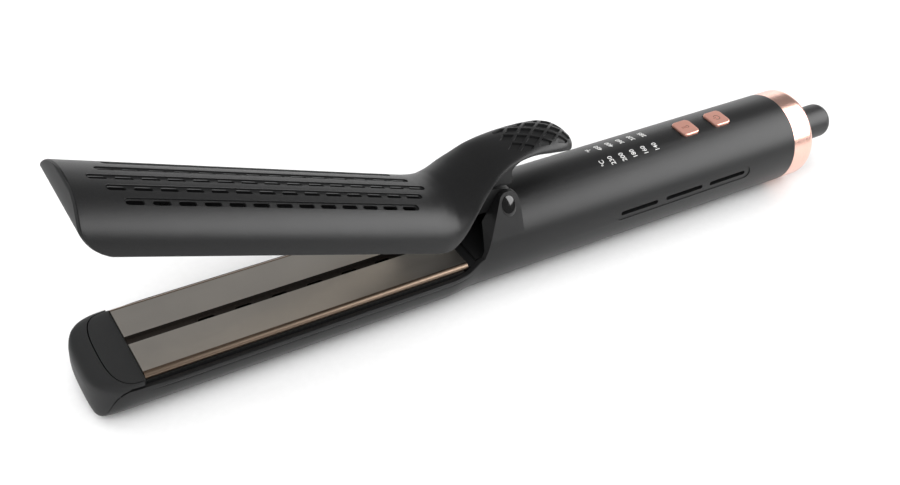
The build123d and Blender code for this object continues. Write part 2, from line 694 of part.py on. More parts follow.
with BuildPart() as upper_shell:
    with BuildSketch(Plane.YZ.offset(-52)):
        add(arch(W_ARM, Z_RIM_U, Z_DOME, N_UP))
    extrude(amount=80 + 52)
    for x, w, ze, zt in LEVER:
        with BuildSketch(Plane.YZ.offset(x)):
            add(arch(w, ze, zt, N_UP))
    loft()
    # hollow
    with BuildSketch(Plane.YZ.offset(-53)):
        add(arch(W_ARM - T_WALL, Z_RIM_U - 0.01, Z_DOME - T_WALL, N_UP))
    extrude(amount=80 + 53, mode=Mode.SUBTRACT)
    for x, w, ze, zt in LEVER[:-2]:
        k = min(1.0, max(0.0, (x - 80.0) / 20.0))
        with BuildSketch(Plane.YZ.offset(x)):
            add(arch(w - T_WALL - 0.2 * k, ze - 0.01 - 0.6 * k, zt - T_WALL - 0.4 * k, N_UP))
    loft(mode=Mode.SUBTRACT)
    # nose of the arm
    with BuildSketch(Plane.XZ.offset(-30)):
        with BuildLine():
            Spline(*TIP_SIDE)
            Polyline(TIP_SIDE[-1], (-38, 10), (-70, 10), (-70, 50), (X_TIP_U, 50), TIP_SIDE[0])
        make_face()
    extrude(amount=60, mode=Mode.SUBTRACT)
    # grooves with slots through
    for y, x0, cnt in ROWS:
        x1 = x0 + SLOT_PITCH * (cnt - 1) + SLOT_L
        with BuildSketch(Plane.XY.offset(ROW_FLOOR[y])):
            with Locations(((x0 + x1) / 2, y)):
                SlotOverall(x1 - x0 + 1.2, 2.5)
        extrude(amount=6, mode=Mode.SUBTRACT)
        with BuildSketch(Plane.XY.offset(30)):
            with Locations(*[(x0 + SLOT_L / 2 + SLOT_PITCH * i, y) for i in range(cnt)]):
                SlotOverall(SLOT_L, SLOT_W)
        extrude(amount=12, mode=Mode.SUBTRACT)
    # screw posts between the slot rows
    for x in (-20.0, 79.5):
        with BuildSketch(Plane.XY.offset(29.96)):
            with Locations((x, 7.6), (x, -7.6)):
                Circle(1.75)
        extrude(amount=4.2)
        with BuildSketch(Plane.XY.offset(29.9)):
            with Locations((x, 7.6), (x, -7.6)):
                Circle(0.9)
        extrude(amount=3.4, mode=Mode.SUBTRACT)
finish(upper_shell.part, "upper_arm_shell", turn=True)

with BuildPart() as upper_tip:
    with BuildSketch(Plane.YZ.offset(-52)):
        add(arch(W_ARM - T_WALL - 0.08, Z_RIM_U, Z_DOME - T_WALL - 0.08, N_UP))
        with Locations((0, Z_RIM_U - 0.4)):
            Rectangle(35.2, 1.0)
    extrude(amount=52 - 30.2)
    with BuildSketch(Plane.XZ.offset(-30)):
        with BuildLine():
            Spline(*TIP_SIDE[:-1], (-38.0, 22.0), (-36.4, 21.5))
            Polyline((-36.4, 21.5), (-36.4, 10), (-70, 10), (-70, 50), (X_TIP_U, 50), TIP_SIDE[0])
        make_face()
    extrude(amount=60, mode=Mode.SUBTRACT)
    with BuildSketch(Plane.YZ.offset(-30)):
        with Locations((0, 28.2)):
            Rectangle(24, 8)
    extrude(amount=-14, mode=Mode.SUBTRACT)
finish(upper_tip.part, "upper_tip_cap", turn=True)

Z_PU = Z_PLATE + GAP
with BuildPart() as upper_plate:
    with BuildSketch(Plane.YZ.offset(X_PU0)):
        add(plate_profile(Z_PU, -1))
    extrude(amount=X_PU1 - X_PU0)
    with BuildSketch(Plane.XY.offset(Z_PU + 1)):
        with Locations(*[(-13.55 + 13.55 * i, 0) for i in range(7)]):
            SlotOverall(6.0, 1.6)
    extrude(amount=3, mode=Mode.SUBTRACT)
finish(upper_plate.part, "upper_heater_plate", turn=True)

with BuildPart() as upper_carrier:
    with BuildSketch(Plane.YZ.offset(X_PU0)):
        add(carrier_profile(Z_PU, -1, TRAY_UP))
    extrude(amount=X_PU1 - X_PU0)
    for x in (-8, 20, 48, 70):
        with BuildSketch(Plane.YZ.offset(x)):
            with Locations((9, Z_PU + 6.6), (-9, Z_PU + 6.6)):
                Rectangle(9, 2.2)
        extrude(amount=2)
    with BuildSketch(Plane.XY.offset(Z_PU + 7)):
        with Locations(*[(-13.55 + 13.55 * i, 0) for i in range(7)]):
            SlotOverall(6.0, 2.6)
    extrude(amount=4, mode=Mode.SUBTRACT)
    with BuildSketch(Plane.XY.offset(Z_PU + 7)):
        with Locations(*[(x, y) for x in (-20.0, 79.5) for y in (7.6, -7.6)]):
            Circle(1.0)
    extrude(amount=4, mode=Mode.SUBTRACT)
finish(upper_carrier.part, "upper_plate_carrier", turn=True)

with BuildPart() as upper_elements:
    with BuildSketch(Plane.XY.offset(Z_PU + 1.3)):
        with Locations((32, 9.1), (32, -9.1)):
            Rectangle(88, 10)
    extrude(amount=2.4)
finish(upper_elements.part, "upper_heater_elements", turn=True)

with BuildPart() as upper_pads:
    with BuildSketch(Plane.XY.offset(Z_PU + 3.7)):
        with Locations((32, 9.1), (32, -9.1)):
            Rectangle(88, 10)
    extrude(amount=1.8)
finish(upper_pads.part, "upper_insulator_pads", turn=True)

with BuildPart() as upper_ntc:
    with BuildSketch(Plane.XY.offset(Z_PU + 1.3)):
        with Locations((-15.5, 11.0)):
            RectangleRounded(4.5, 2.6, 0.8)
    extrude(amount=1.6)
finish(upper_ntc.part, "upper_thermistor", turn=True)

with BuildPart() as upper_screws:
    for x in (-20.0, 79.5):
        for y in (7.6, -7.6):
            with BuildSketch(Plane.XY.offset(Z_PU + 7.6 - 1.2)):
                with Locations((x, y)):
                    Circle(1.6)
            extrude(amount=1.2)
            with BuildSketch(Plane.XY.offset(Z_PU + 7.0)):
                with Locations((x, y)):
                    Circle(0.85)
            extrude(amount=5.2)
            with BuildSketch(Plane.XY.offset(Z_PU + 6.0)):
                with Locations((x, y)):
                    Rectangle(1.9, 0.5)
                    Rectangle(0.5, 1.9)
            extrude(amount=0.9, mode=Mode.SUBTRACT)
finish(upper_screws.part, "upper_screws", turn=True)

KN_SIDE = [(94.0, 25.4), (94.0, 38.4), (99.5, 40.4), (108.0, 42.2), (X_PIN, Z_PIN + 4.6), (X_PIN, Z_PIN - 4.6), (106.0, 31.4),
           (99.5, 27.6)]
with BuildPart() as knuckle:
    # wide part inside the shell
    for x, w, zb, zt in ((83.4, 16.7, 22.9, 34.2), (88.0, 16.0, 23.0, 35.6), (92.0, 14.6, 24.2, 37.8), (96.0, 12.0, 26.0, 39.4),
                         (99.3, 9.0, 28.0, 40.3)):
        with BuildSketch(Plane.YZ.offset(x)):
            add(arch(w, zb, zt, N_UP))
    loft()
    # lugs
    with BuildSketch(Plane.XZ.offset(-7.3)):
        add(outline(*KN_SIDE))
        with Locations((X_PIN, Z_PIN)):
            Circle(4.6)
    extrude(amount=14.6)
    # tongue over the tray
    with BuildSketch(Plane.XY.offset(Z_PU + 9.1)):
        with Locations((75.5, 0)):
            RectangleRounded(20, 10.4, 1.5)
    extrude(amount=2.0)
    # room for the spring
    with BuildSketch(Plane.XZ.offset(-3.5)):
        with Locations((114.5, 37)):
            Rectangle(20, 30)
    extrude(amount=7.0, mode=Mode.SUBTRACT)
    # bush seats
    with BuildSketch(Plane.XZ.offset(-10)):
        with Locations((X_PIN, Z_PIN)):
            Circle(3.2)
    extrude(amount=20, mode=Mode.SUBTRACT)
    # air and lead duct
    with BuildSketch(Plane.YZ.offset(83.0)):
        with Locations((0, 27.6)):
            Rectangle(18, 7)
    with BuildSketch(Plane.YZ.offset(106.0)):
        with Locations((0, 36)):
            Rectangle(6, 6)
    loft(mode=Mode.SUBTRACT)
finish(knuckle.part, "hinge_knuckle", turn=True)

with BuildPart() as bushes:
    for s in (1, -1):
        with BuildSketch(Plane.XZ.offset(-5.4 * s - 1.9)):
            with Locations((X_PIN, Z_PIN)):
                Circle(3.2)
                Circle(R_PIN + 0.05, mode=Mode.SUBTRACT)
        extrude(amount=3.8)
finish(bushes.part, "hinge_bushes", turn=True)

with BuildPart() as upper_leads:
    for s in (1, -1):
        with BuildLine() as run:
            FilletPolyline((76.15, s * 5, 25.4), (85.0, s * 5, 26.6), (98.0, s * 3.6, 33.0), radius=4.0)
        with BuildSketch(Plane(origin=run.line @ 0, z_dir=run.line % 0)):
            Circle(0.7)
        sweep(path=run.line)
finish(upper_leads.part, "upper_heater_leads", turn=True)
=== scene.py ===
import math

import bmesh
import bpy
import numpy as np
from mathutils import Matrix, Vector
from mathutils.bvhtree import BVHTree


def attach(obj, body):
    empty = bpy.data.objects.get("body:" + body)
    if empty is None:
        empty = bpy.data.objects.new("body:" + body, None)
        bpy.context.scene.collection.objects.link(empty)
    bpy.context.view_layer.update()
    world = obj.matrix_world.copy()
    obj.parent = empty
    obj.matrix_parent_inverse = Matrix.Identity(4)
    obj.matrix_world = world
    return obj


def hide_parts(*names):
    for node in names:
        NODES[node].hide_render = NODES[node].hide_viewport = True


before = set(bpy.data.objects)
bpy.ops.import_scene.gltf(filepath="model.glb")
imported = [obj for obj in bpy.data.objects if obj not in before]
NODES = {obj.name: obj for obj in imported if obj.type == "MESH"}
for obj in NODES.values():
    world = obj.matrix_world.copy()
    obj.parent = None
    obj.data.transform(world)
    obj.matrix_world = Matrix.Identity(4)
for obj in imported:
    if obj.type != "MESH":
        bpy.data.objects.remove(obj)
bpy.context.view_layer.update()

scene = bpy.context.scene

# ------------------------------------------------------------------ frames
# Pieces are drawn in millimetres: x from the plates to the cord end, the
# handle's axis at y = 0, z = 19, the floor at z = 0. Pieces of the upper arm
# are drawn closed and then turned open about the hinge pin.
XC = 124.35
PX, PZ = 113.0, 37.8
OPEN = math.radians(19.8)


def to_rest(v, up=False):
    v = np.array(v, float).reshape(-1, 3)
    if up:
        dx, dz = v[:, 0] - PX, v[:, 2] - PZ
        v = np.column_stack([PX + dx * math.cos(OPEN) + dz * math.sin(OPEN), v[:, 1],
                             PZ - dx * math.sin(OPEN) + dz * math.cos(OPEN)])
    else:
        v = v.copy()
    v[:, 0] -= XC
    return v / 1000.0


# --------------------------------------------------------------- materials
def new_mat(name):
    m = bpy.data.materials.new(name)
    m.use_nodes = True
    nt = m.node_tree
    b = nt.nodes["Principled BSDF"]
    return m, nt, b


def coords(nt, scale=1.0, stretch=None):
    tc = nt.nodes.new("ShaderNodeTexCoord")
    mp = nt.nodes.new("ShaderNodeMapping")
    nt.links.new(tc.outputs["Object"], mp.inputs["Vector"])
    mp.inputs["Scale"].default_value = stretch or (scale, scale, scale)
    return mp.outputs["Vector"]


def noise(nt, vec, scale, detail=2.0, rough=0.5):
    n = nt.nodes.new("ShaderNodeTexNoise")
    nt.links.new(vec, n.inputs["Vector"])
    n.inputs["Scale"].default_value = scale
    n.inputs["Detail"].default_value = detail
    n.inputs["Roughness"].default_value = rough
    return n.outputs["Fac"]


def ramp(nt, fac, stops):
    r = nt.nodes.new("ShaderNodeValToRGB")
    nt.links.new(fac, r.inputs["Fac"])
    while len(r.color_ramp.elements) < len(stops):
        r.color_ramp.elements.new(0.5)
    for e, (p, c) in zip(r.color_ramp.elements, stops):
        e.position = p
        e.color = (*c, 1.0)
    return r.outputs["Color"]


def span(nt, fac, lo, hi, a=0.0, b=1.0):
    m = nt.nodes.new("ShaderNodeMapRange")
    nt.links.new(fac, m.inputs["Value"])
    m.inputs["From Min"].default_value = a
    m.inputs["From Max"].default_value = b
    m.inputs["To Min"].default_value = lo
    m.inputs["To Max"].default_value = hi
    return m.outputs["Result"]


def bump(nt, height, strength, distance, b, normal=None):
    n = nt.nodes.new("ShaderNodeBump")
    n.inputs["Strength"].default_value = strength
    n.inputs["Distance"].default_value = distance
    nt.links.new(height, n.inputs["Height"])
    if normal is not None:
        nt.links.new(normal, n.inputs["Normal"])
    if b is not None:
        nt.links.new(n.outputs["Normal"], b.inputs["Normal"])
    return n.outputs["Normal"]


def plastic(name, dark, light, r0, r1, grain=0.35, size=5200.0, spec=0.5):
    """Moulded plastic with a fine spark-eroded grain."""
    m, nt, b = new_mat(name)
    v = coords(nt)
    g = noise(nt, v, size, 1.0, 0.5)
    broad = noise(nt, v, 90.0, 3.0, 0.6)
    nt.links.new(ramp(nt, g, [(0.30, dark), (0.72, light)]), b.inputs["Base Color"])
    mix = nt.nodes.new("ShaderNodeMath")
    mix.operation = "MULTIPLY_ADD"
    nt.links.new(broad, mix.inputs[0])
    mix.inputs[1].default_value = 0.25
    nt.links.new(g, mix.inputs[2])
    nt.links.new(span(nt, mix.outputs[0], r0, r1, 0.35, 0.95), b.inputs["Roughness"])
    b.inputs["Specular IOR Level"].default_value = spec
    first = bump(nt, g, grain, 0.00004, None)
    bump(nt, broad, 0.06, 0.0004, b, first)
    return m


def metal(name, c0, c1, r0, r1, brushed=(60.0, 2600.0, 2600.0), grain=0.12, metallic=1.0):
    """Metal with fine lines along the part and a little mottling."""
    m, nt, b = new_mat(name)
    lines = noise(nt, coords(nt, stretch=brushed), 1.0, 2.0, 0.6)
    v = coords(nt)
    fine = noise(nt, v, 3800.0, 1.0, 0.5)
    broad = noise(nt, v, 45.0, 3.0, 0.55)
    nt.links.new(ramp(nt, broad, [(0.30, c0), (0.75, c1)]), b.inputs["Base Color"])
    mix = nt.nodes.new("ShaderNodeMath")
    mix.operation = "MULTIPLY_ADD"
    nt.links.new(broad, mix.inputs[0])
    mix.inputs[1].default_value = 0.4
    nt.links.new(lines, mix.inputs[2])
    nt.links.new(span(nt, mix.outputs[0], r0, r1, 0.4, 1.0), b.inputs["Roughness"])
    b.inputs["Metallic"].default_value = metallic
    first = bump(nt, lines, grain, 0.00003, None)
    bump(nt, fine, grain * 0.8, 0.00002, b, first)
    return m


def glossy(name, dark, light, r0, r1, coat=0.0, spec=0.5):
    m, nt, b = new_mat(name)
    v = coords(nt)
    g = noise(nt, v, 700.0, 3.0, 0.6)
    nt.links.new(ramp(nt, g, [(0.3, dark), (0.7, light)]), b.inputs["Base Color"])
    nt.links.new(span(nt, noise(nt, v, 2400.0, 2.0, 0.5), r0, r1, 0.3, 0.7), b.inputs["Roughness"])
    b.inputs["Coat Weight"].default_value = coat
    b.inputs["Coat Roughness"].default_value = 0.05
    b.inputs["Specular IOR Level"].default_value = spec
    bump(nt, g, 0.05, 0.00005, b)
    return m


def plate_metal(name):
    """Coated heating plate: satin flat, bare bronze edge, and a groove down the middle whose shade is painted in as a
    dark colour.
    """
    m, nt, b = new_mat(name)
    v = coords(nt)
    sep = nt.nodes.new("ShaderNodeSeparateXYZ")
    nt.links.new(v, sep.inputs[0])
    ab = nt.nodes.new("ShaderNodeMath")
    ab.operation = "ABSOLUTE"
    nt.links.new(sep.outputs["Y"], ab.inputs[0])
    across = span(nt, ab.outputs[0], 0.0, 1.0, 0.0, 0.020)
    # painted shade: the groove is the same coated metal in shade, painted near-black brown here; the bronze edge is
    # the edge's own colour
    zone = ramp(nt, across, [(0.0960, (0.016, 0.013, 0.011)), (0.0985, (0.56, 0.525, 0.480)),
                             (0.7560, (0.56, 0.525, 0.480)), (0.7640, (0.185, 0.138, 0.104))])
    lines = noise(nt, coords(nt, stretch=(40.0, 900.0, 900.0)), 1.0, 2.0, 0.6)
    broad = noise(nt, v, 45.0, 3.0, 0.55)
    fine = noise(nt, v, 3800.0, 1.0, 0.5)
    tone = nt.nodes.new("ShaderNodeMix")
    tone.data_type = "RGBA"
    tone.blend_type = "MULTIPLY"
    tone.inputs["Factor"].default_value = 1.0
    nt.links.new(zone, tone.inputs["A"])
    nt.links.new(ramp(nt, broad, [(0.30, (0.93, 0.93, 0.93)), (0.75, (1.0, 0.995, 0.985))]), tone.inputs["B"])
    # painted shade: the walls of the air slots, below the groove's floor, are painted near black and lose their
    # specular, standing in for the shade inside the thin sheet
    slot_shade_mask = nt.nodes.new("ShaderNodeMath")
    slot_shade_mask.operation = "MAXIMUM"
    nt.links.new(span(nt, sep.outputs["Z"], 0.0, 1.0, 0.01882, 0.01886), slot_shade_mask.inputs[0])
    nt.links.new(span(nt, across, 0.0, 1.0, 0.0960, 0.0985), slot_shade_mask.inputs[1])
    # painted shade: multiplies the plate colour by near black on the slot walls
    painted_slot_shade = nt.nodes.new("ShaderNodeMix")
    painted_slot_shade.data_type = "RGBA"
    painted_slot_shade.blend_type = "MULTIPLY"
    painted_slot_shade.inputs["Factor"].default_value = 1.0
    nt.links.new(tone.outputs["Result"], painted_slot_shade.inputs["A"])
    nt.links.new(ramp(nt, slot_shade_mask.outputs[0], [(0.0, (0.02, 0.02, 0.02)), (1.0, (1.0, 1.0, 1.0))]), painted_slot_shade.inputs["B"])
    nt.links.new(painted_slot_shade.outputs["Result"], b.inputs["Base Color"])
    # painted shade: the groove is also made non-metallic, so it keeps its painted dark colour
    nt.links.new(ramp(nt, across, [(0.0960, (0.0, 0.0, 0.0)), (0.0985, (1.0, 1.0, 1.0))]), b.inputs["Metallic"])
    # the painted slot shade also takes the specular away on the slot walls
    nt.links.new(span(nt, slot_shade_mask.outputs[0], 0.0, 0.3), b.inputs["Specular IOR Level"])
    mix = nt.nodes.new("ShaderNodeMath")
    mix.operation = "MULTIPLY_ADD"
    nt.links.new(broad, mix.inputs[0])
    mix.inputs[1].default_value = 0.4
    nt.links.new(lines, mix.inputs[2])
    nt.links.new(span(nt, mix.outputs[0], 0.31, 0.39, 0.4, 1.0), b.inputs["Roughness"])
    first = bump(nt, lines, 0.05, 0.00003, None)
    bump(nt, fine, 0.04, 0.00002, b, first)
    return m


MAT = {
    "shell": plastic("shell_plastic", (0.0048, 0.0048, 0.0050), (0.0092, 0.0092, 0.0095), 0.33, 0.43, 0.62, 4200.0, 0.27),
    "tip": plastic("tip_plastic", (0.0165, 0.0167, 0.0170), (0.0220, 0.0222, 0.0225), 0.44, 0.52, 0.22, 5600.0, 0.17),
    "carrier": plastic("carrier_plastic", (0.0060, 0.0060, 0.0062), (0.0100, 0.0100, 0.0103), 0.42, 0.54, 0.25, 3000.0, 0.27),
    "plate": plate_metal("plate_coating"),
    "rose_gold": metal("rose_gold_metal", (0.74, 0.46, 0.385), (0.79, 0.50, 0.42), 0.20, 0.29, (2600.0, 30.0, 30.0), 0.05),
    "button": metal("button_metal", (0.84, 0.44, 0.35), (0.89, 0.49, 0.40), 0.42, 0.50, (1500.0, 1500.0, 200.0), 0.10),
    "icon": metal("icon_metal", (0.40, 0.20, 0.165), (0.46, 0.24, 0.20), 0.40, 0.50, (1500.0, 1500.0, 200.0), 0.08),
    "black_gloss": glossy("black_gloss", (0.0015, 0.0015, 0.0015), (0.003, 0.003, 0.003), 0.05, 0.09, 0.3, 0.35),
    "swivel": plastic("swivel_plastic", (0.013, 0.013, 0.0135), (0.019, 0.019, 0.0195), 0.38, 0.48, 0.25, 4200.0, 0.3),
    "steel": metal("steel_wire", (0.52, 0.52, 0.53), (0.60, 0.60, 0.61), 0.22, 0.34, (900.0, 900.0, 900.0), 0.10),
    "bush": plastic("bush_plastic", (0.012, 0.012, 0.012), (0.018, 0.018, 0.018), 0.38, 0.50, 0.15, 2600.0, 0.3),
    "ceramic": plastic("ceramic_white", (0.70, 0.69, 0.66), (0.80, 0.79, 0.76), 0.50, 0.62, 0.20, 2200.0),
    "silicone": plastic("silicone_grey", (0.24, 0.085, 0.06), (0.30, 0.11, 0.08), 0.45, 0.58, 0.15, 2600.0),
    "board": plastic("board_green", (0.018, 0.085, 0.040), (0.026, 0.115, 0.055), 0.28, 0.40, 0.15, 1800.0),
    "switch": plastic("switch_black", (0.020, 0.020, 0.020), (0.030, 0.030, 0.030), 0.35, 0.5, 0.15, 2600.0),
    "light_guide": plastic("light_guide_clear", (0.50, 0.51, 0.52), (0.60, 0.61, 0.62), 0.20, 0.32, 0.10, 2200.0),
    "print": plastic("print_white", (0.60, 0.60, 0.59), (0.72, 0.72, 0.71), 0.42, 0.52, 0.10, 5200.0),
}

for name, ob in NODES.items():
    for s in ob.material_slots:
        key = s.material.name.split(".")[0] if s.material else "carrier"
        s.material = MAT.get(key, MAT["carrier"])


# ------------------------------------------------------------- mesh helpers
def pchip(xs, ys):
    """Smooth curve through the points that never overshoots them."""
    xs, ys = np.asarray(xs, float), np.asarray(ys, float)
    h = np.diff(xs)
    d = np.diff(ys) / h
    m = np.zeros(len(xs))
    m[0], m[-1] = d[0], d[-1]
    for i in range(1, len(xs) - 1):
        if d[i - 1] * d[i] > 0:
            w1, w2 = 2 * h[i] + h[i - 1], h[i] + 2 * h[i - 1]
            m[i] = (w1 + w2) / (w1 / d[i - 1] + w2 / d[i])

    def f(x):
        x = np.clip(np.asarray(x, float), xs[0], xs[-1])
        i = np.clip(np.searchsorted(xs, x, side="right") - 1, 0, len(xs) - 2)
        t = (x - xs[i]) / h[i]
        return ((1 + 2 * t) * (1 - t) ** 2 * ys[i] + t * (1 - t) ** 2 * h[i] * m[i]
                + t * t * (3 - 2 * t) * ys[i + 1] + t * t * (t - 1) * h[i] * m[i + 1])
    return f


def make(name, verts, faces, classes=None, slots=3):
    me = bpy.data.meshes.new(name)
    me.from_pydata([tuple(v) for v in np.asarray(verts, float)], [], [tuple(f) for f in faces])
    ob = bpy.data.objects.new(name, me)
    scene.collection.objects.link(ob)
    for _ in range(slots):
        me.materials.append(None)
    if classes is not None:
        me.polygons.foreach_set("material_index", np.asarray(classes, np.int32))
    me.update()
    return ob


def outward(ob):
    """Turn every face of a closed mesh outward."""
    bm = bmesh.new()
    bm.from_mesh(ob.data)
    bmesh.ops.recalc_face_normals(bm, faces=bm.faces)
    bm.to_mesh(ob.data)
    bm.free()
    return ob


def weld(ob, dist=1e-4):
    bm = bmesh.new()
    bm.from_mesh(ob.data)
    bmesh.ops.remove_doubles(bm, verts=bm.verts, dist=dist)
    bmesh.ops.recalc_face_normals(bm, faces=bm.faces)
    bm.to_mesh(ob.data)
    bm.free()
    return ob


def cut(ob, tool, op="DIFFERENCE", keep=False):
    mod = ob.modifiers.new("cut", "BOOLEAN")
    mod.operation = op
    mod.object = tool
    mod.solver = "MANIFOLD"
    dg = bpy.context.evaluated_depsgraph_get()
    me = bpy.data.meshes.new_from_object(ob.evaluated_get(dg))
    if len(me.polygons) == 0 or (op == "DIFFERENCE" and len(me.polygons) == len(ob.data.polygons)):
        mod.solver = "EXACT"
        dg = bpy.context.evaluated_depsgraph_get()
        me = bpy.data.meshes.new_from_object(ob.evaluated_get(dg))
    ob.modifiers.clear()
    old = ob.data
    ob.data = me
    bpy.data.meshes.remove(old)
    if not keep:
        drop(tool)
    return ob


def drop(ob):
    me = ob.data
    bpy.data.objects.remove(ob)
    bpy.data.meshes.remove(me)


def copy_of(ob, name):
    c = ob.copy()
    c.data = ob.data.copy()
    c.name = name
    scene.collection.objects.link(c)
    return c


def prism(loops, cls=1):
    """Closed solid through a list of loops with the same number of points; both ends are fans."""
    verts, faces = [], []
    k = len(loops[0])
    for lp in loops:
        verts.extend(lp)
    for r in range(len(loops) - 1):
        for i in range(k):
            j = (i + 1) % k
            faces.append((r * k + i, r * k + j, (r + 1) * k + j, (r + 1) * k + i))
    for r in (0, len(loops) - 1):
        verts.append(tuple(np.mean(np.asarray(loops[r], float), axis=0)))
        c = len(verts) - 1
        for i in range(k):
            faces.append((r * k + i, r * k + (i + 1) % k, c))
    return verts, faces, [cls] * len(faces)


def gather(name, solids):
    verts, faces, cls = [], [], []
    for v, f, c in solids:
        n = len(verts)
        verts.extend(v)
        faces.extend([tuple(i + n for i in q) for q in f])
        cls.extend(c)
    return outward(make(name, verts, faces, cls))


def stadium(length, hw, n=10):
    """Outline of a slot with round ends, centred, along the first axis."""
    pts = []
    e = length / 2 - hw
    for i in range(n + 1):
        a = -math.pi / 2 + math.pi * i / n
        pts.append((e + hw * math.cos(a), hw * math.sin(a)))
    for i in range(n + 1):
        a = math.pi / 2 + math.pi * i / n
        pts.append((-e + hw * math.cos(a), hw * math.sin(a)))
    return pts


def rounded(w, h, r, n=6):
    pts = []
    for cx, cy, a0 in ((w / 2 - r, h / 2 - r, 0), (-w / 2 + r, h / 2 - r, 90), (-w / 2 + r, -h / 2 + r, 180),
                       (w / 2 - r, -h / 2 + r, 270)):
        for i in range(n + 1):
            a = math.radians(a0 + 90 * i / n)
            pts.append((cx + r * math.cos(a), cy + r * math.sin(a)))
    return pts


class Skin:
    """Remembers the smooth surface of a mesh before it is cut, so that its shading can be put back."""

    def __init__(self, ob, cls=0):
        me = ob.data
        keep = [p for p in me.polygons if p.material_index == cls]
        self.co = [v.co.copy() for v in me.vertices]
        acc = np.zeros((len(me.vertices), 3))
        for p in keep:
            for v in p.vertices:
                acc[v] += np.array(p.normal) * p.area
        ln = np.linalg.norm(acc, axis=1)
        ln[ln == 0] = 1
        self.nrm = acc / ln[:, None]
        self.polys = [tuple(p.vertices) for p in keep]
        self.tree = BVHTree.FromPolygons(self.co, self.polys)

    def at(self, p):
        loc, n, i, d = self.tree.find_nearest(p)
        vs = self.polys[i]
        ws = []
        for v in vs:
            ws.append(1.0 / max((self.co[v] - loc).length_squared, 1e-9) ** 1.0)
        q = sum(self.nrm[v] * w for v, w in zip(vs, ws))
        # bilinear weights for a quad give a steadier result than distances
        if len(vs) == 4:
            a, b, c, e = (np.array(self.co[v]) for v in vs)
            P = np.array(loc)
            u = t = 0.5
            for _ in range(4):
                S = (1 - u) * (1 - t) * a + u * (1 - t) * b + u * t * c + (1 - u) * t * e
                du = (1 - t) * (b - a) + t * (c - e)
                dt = (1 - u) * (e - a) + u * (c - b)
                A = np.array([[du @ du, du @ dt], [du @ dt, dt @ dt]])
                r = np.array([du @ (P - S), dt @ (P - S)])
                det = A[0, 0] * A[1, 1] - A[0, 1] ** 2
                if abs(det) < 1e-14:
                    break
                u += (A[1, 1] * r[0] - A[0, 1] * r[1]) / det
                t += (A[0, 0] * r[1] - A[0, 1] * r[0]) / det
                u, t = min(1, max(0, u)), min(1, max(0, t))
            n4 = [self.nrm[v] for v in vs]
            q = (1 - u) * (1 - t) * n4[0] + u * (1 - t) * n4[1] + u * t * n4[2] + (1 - u) * t * n4[3]
        return q / max(np.linalg.norm(q), 1e-9)


def finish_piece(ob, body, nodes, mat, up=False, skins=None, angle=32.0, mats=None):
    """Shade, place at rest, give the material and ride."""
    me = ob.data
    me.polygons.foreach_set("use_smooth", np.ones(len(me.polygons), bool))
    me.set_sharp_from_angle(angle=math.radians(angle))
    nl = len(me.loops)
    nrm = np.empty(nl * 3, np.float32)
    me.corner_normals.foreach_get("vector", nrm)
    nrm = nrm.reshape(-1, 3)
    if skins:
        cache = {}
        for p in me.polygons:
            sk = skins.get(p.material_index)
            if sk is None:
                continue
            for li in p.loop_indices:
                vi = me.loops[li].vertex_index
                key = (p.material_index, vi)
                if key not in cache:
                    cache[key] = sk.at(me.vertices[vi].co)
                nrm[li] = cache[key]
    co = np.empty(len(me.vertices) * 3, np.float32)
    me.vertices.foreach_get("co", co)
    co = to_rest(co.reshape(-1, 3), up)
    me.vertices.foreach_set("co", co.astype(np.float32).ravel())
    if up:
        c, s = math.cos(OPEN), math.sin(OPEN)
        nrm = np.column_stack([nrm[:, 0] * c + nrm[:, 2] * s, nrm[:, 1], -nrm[:, 0] * s + nrm[:, 2] * c])
    me.update()
    me.normals_split_custom_set([tuple(x) for x in nrm])
    me.materials.clear()
    if mats:
        for m in mats:
            me.materials.append(MAT[m])
    else:
        me.materials.append(MAT[mat])
        me.polygons.foreach_set("material_index", np.zeros(len(me.polygons), np.int32))
    me.update()
    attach(ob, body)
    if nodes:
        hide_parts(*nodes)
    return ob


# ------------------------------------------------------- upper arm sections
W_ARM, T_WALL = 19.9, 1.8
N_UP = 2.2
LEVER = [(-60.0, 19.9, 22.4, 36.9), (70.0, 19.9, 22.4, 36.9),
         (80.0, 19.9, 22.4, 36.9), (84.0, 19.85, 22.5, 37.25), (88.0, 19.25, 23.4, 38.5), (91.0, 18.35, 26.0, 40.9),
         (93.2, 17.4, 29.6, 43.3), (95.4, 15.9, 35.9, 45.9), (98.0, 14.0, 42.0, 48.9), (101.0, 12.3, 47.8, 52.3),
         (104.5, 11.2, 51.5, 55.3), (108.5, 10.4, 54.5, 57.8), (113.0, 9.9, 56.9, 60.2), (118.0, 9.7, 58.6, 62.5),
         (123.0, 9.8, 59.6, 64.2), (128.0, 9.7, 60.5, 65.3), (131.3, 9.2, 60.8, 65.4), (134.3, 7.9, 60.6, 64.8),
         (136.7, 5.9, 60.2, 63.7), (138.1, 3.8, 59.95, 62.5), (138.75, 1.9, 59.85, 61.5), (138.95, 0.3, 59.8, 60.7)]
lev = np.array(LEVER)
lev_s = np.concatenate([[0], np.cumsum(np.sqrt(np.diff(lev[:, 0]) ** 2 + np.diff(lev[:, 1]) ** 2
                                               + 0.3 * np.diff(lev[:, 3]) ** 2))])
lev_s -= lev_s[2]                     # zero where the dome starts to rise
lev_f = [pchip(lev_s, lev[:, i]) for i in range(4)]
TIP_SIDE = np.array([(-49.3, 36.0), (-49.25, 33.5), (-49.0, 31.0), (-48.4, 29.0), (-47.2, 27.4), (-45.4, 25.7),
                     (-43.2, 24.2), (-40.8, 23.1), (-38.0, 22.4)])


def tip_x(z):
    order = np.argsort(TIP_SIDE[:, 1])
    return pchip(TIP_SIDE[order, 1], TIP_SIDE[order, 0])(np.clip(z, 22.4, 36.0))


def sup(w, zb, zt, n, a):
    c, s = np.cos(a), np.sin(a)
    return w * np.sign(c) * np.abs(c) ** (2 / n), zb + (zt - zb) * np.abs(s) ** (2 / n)


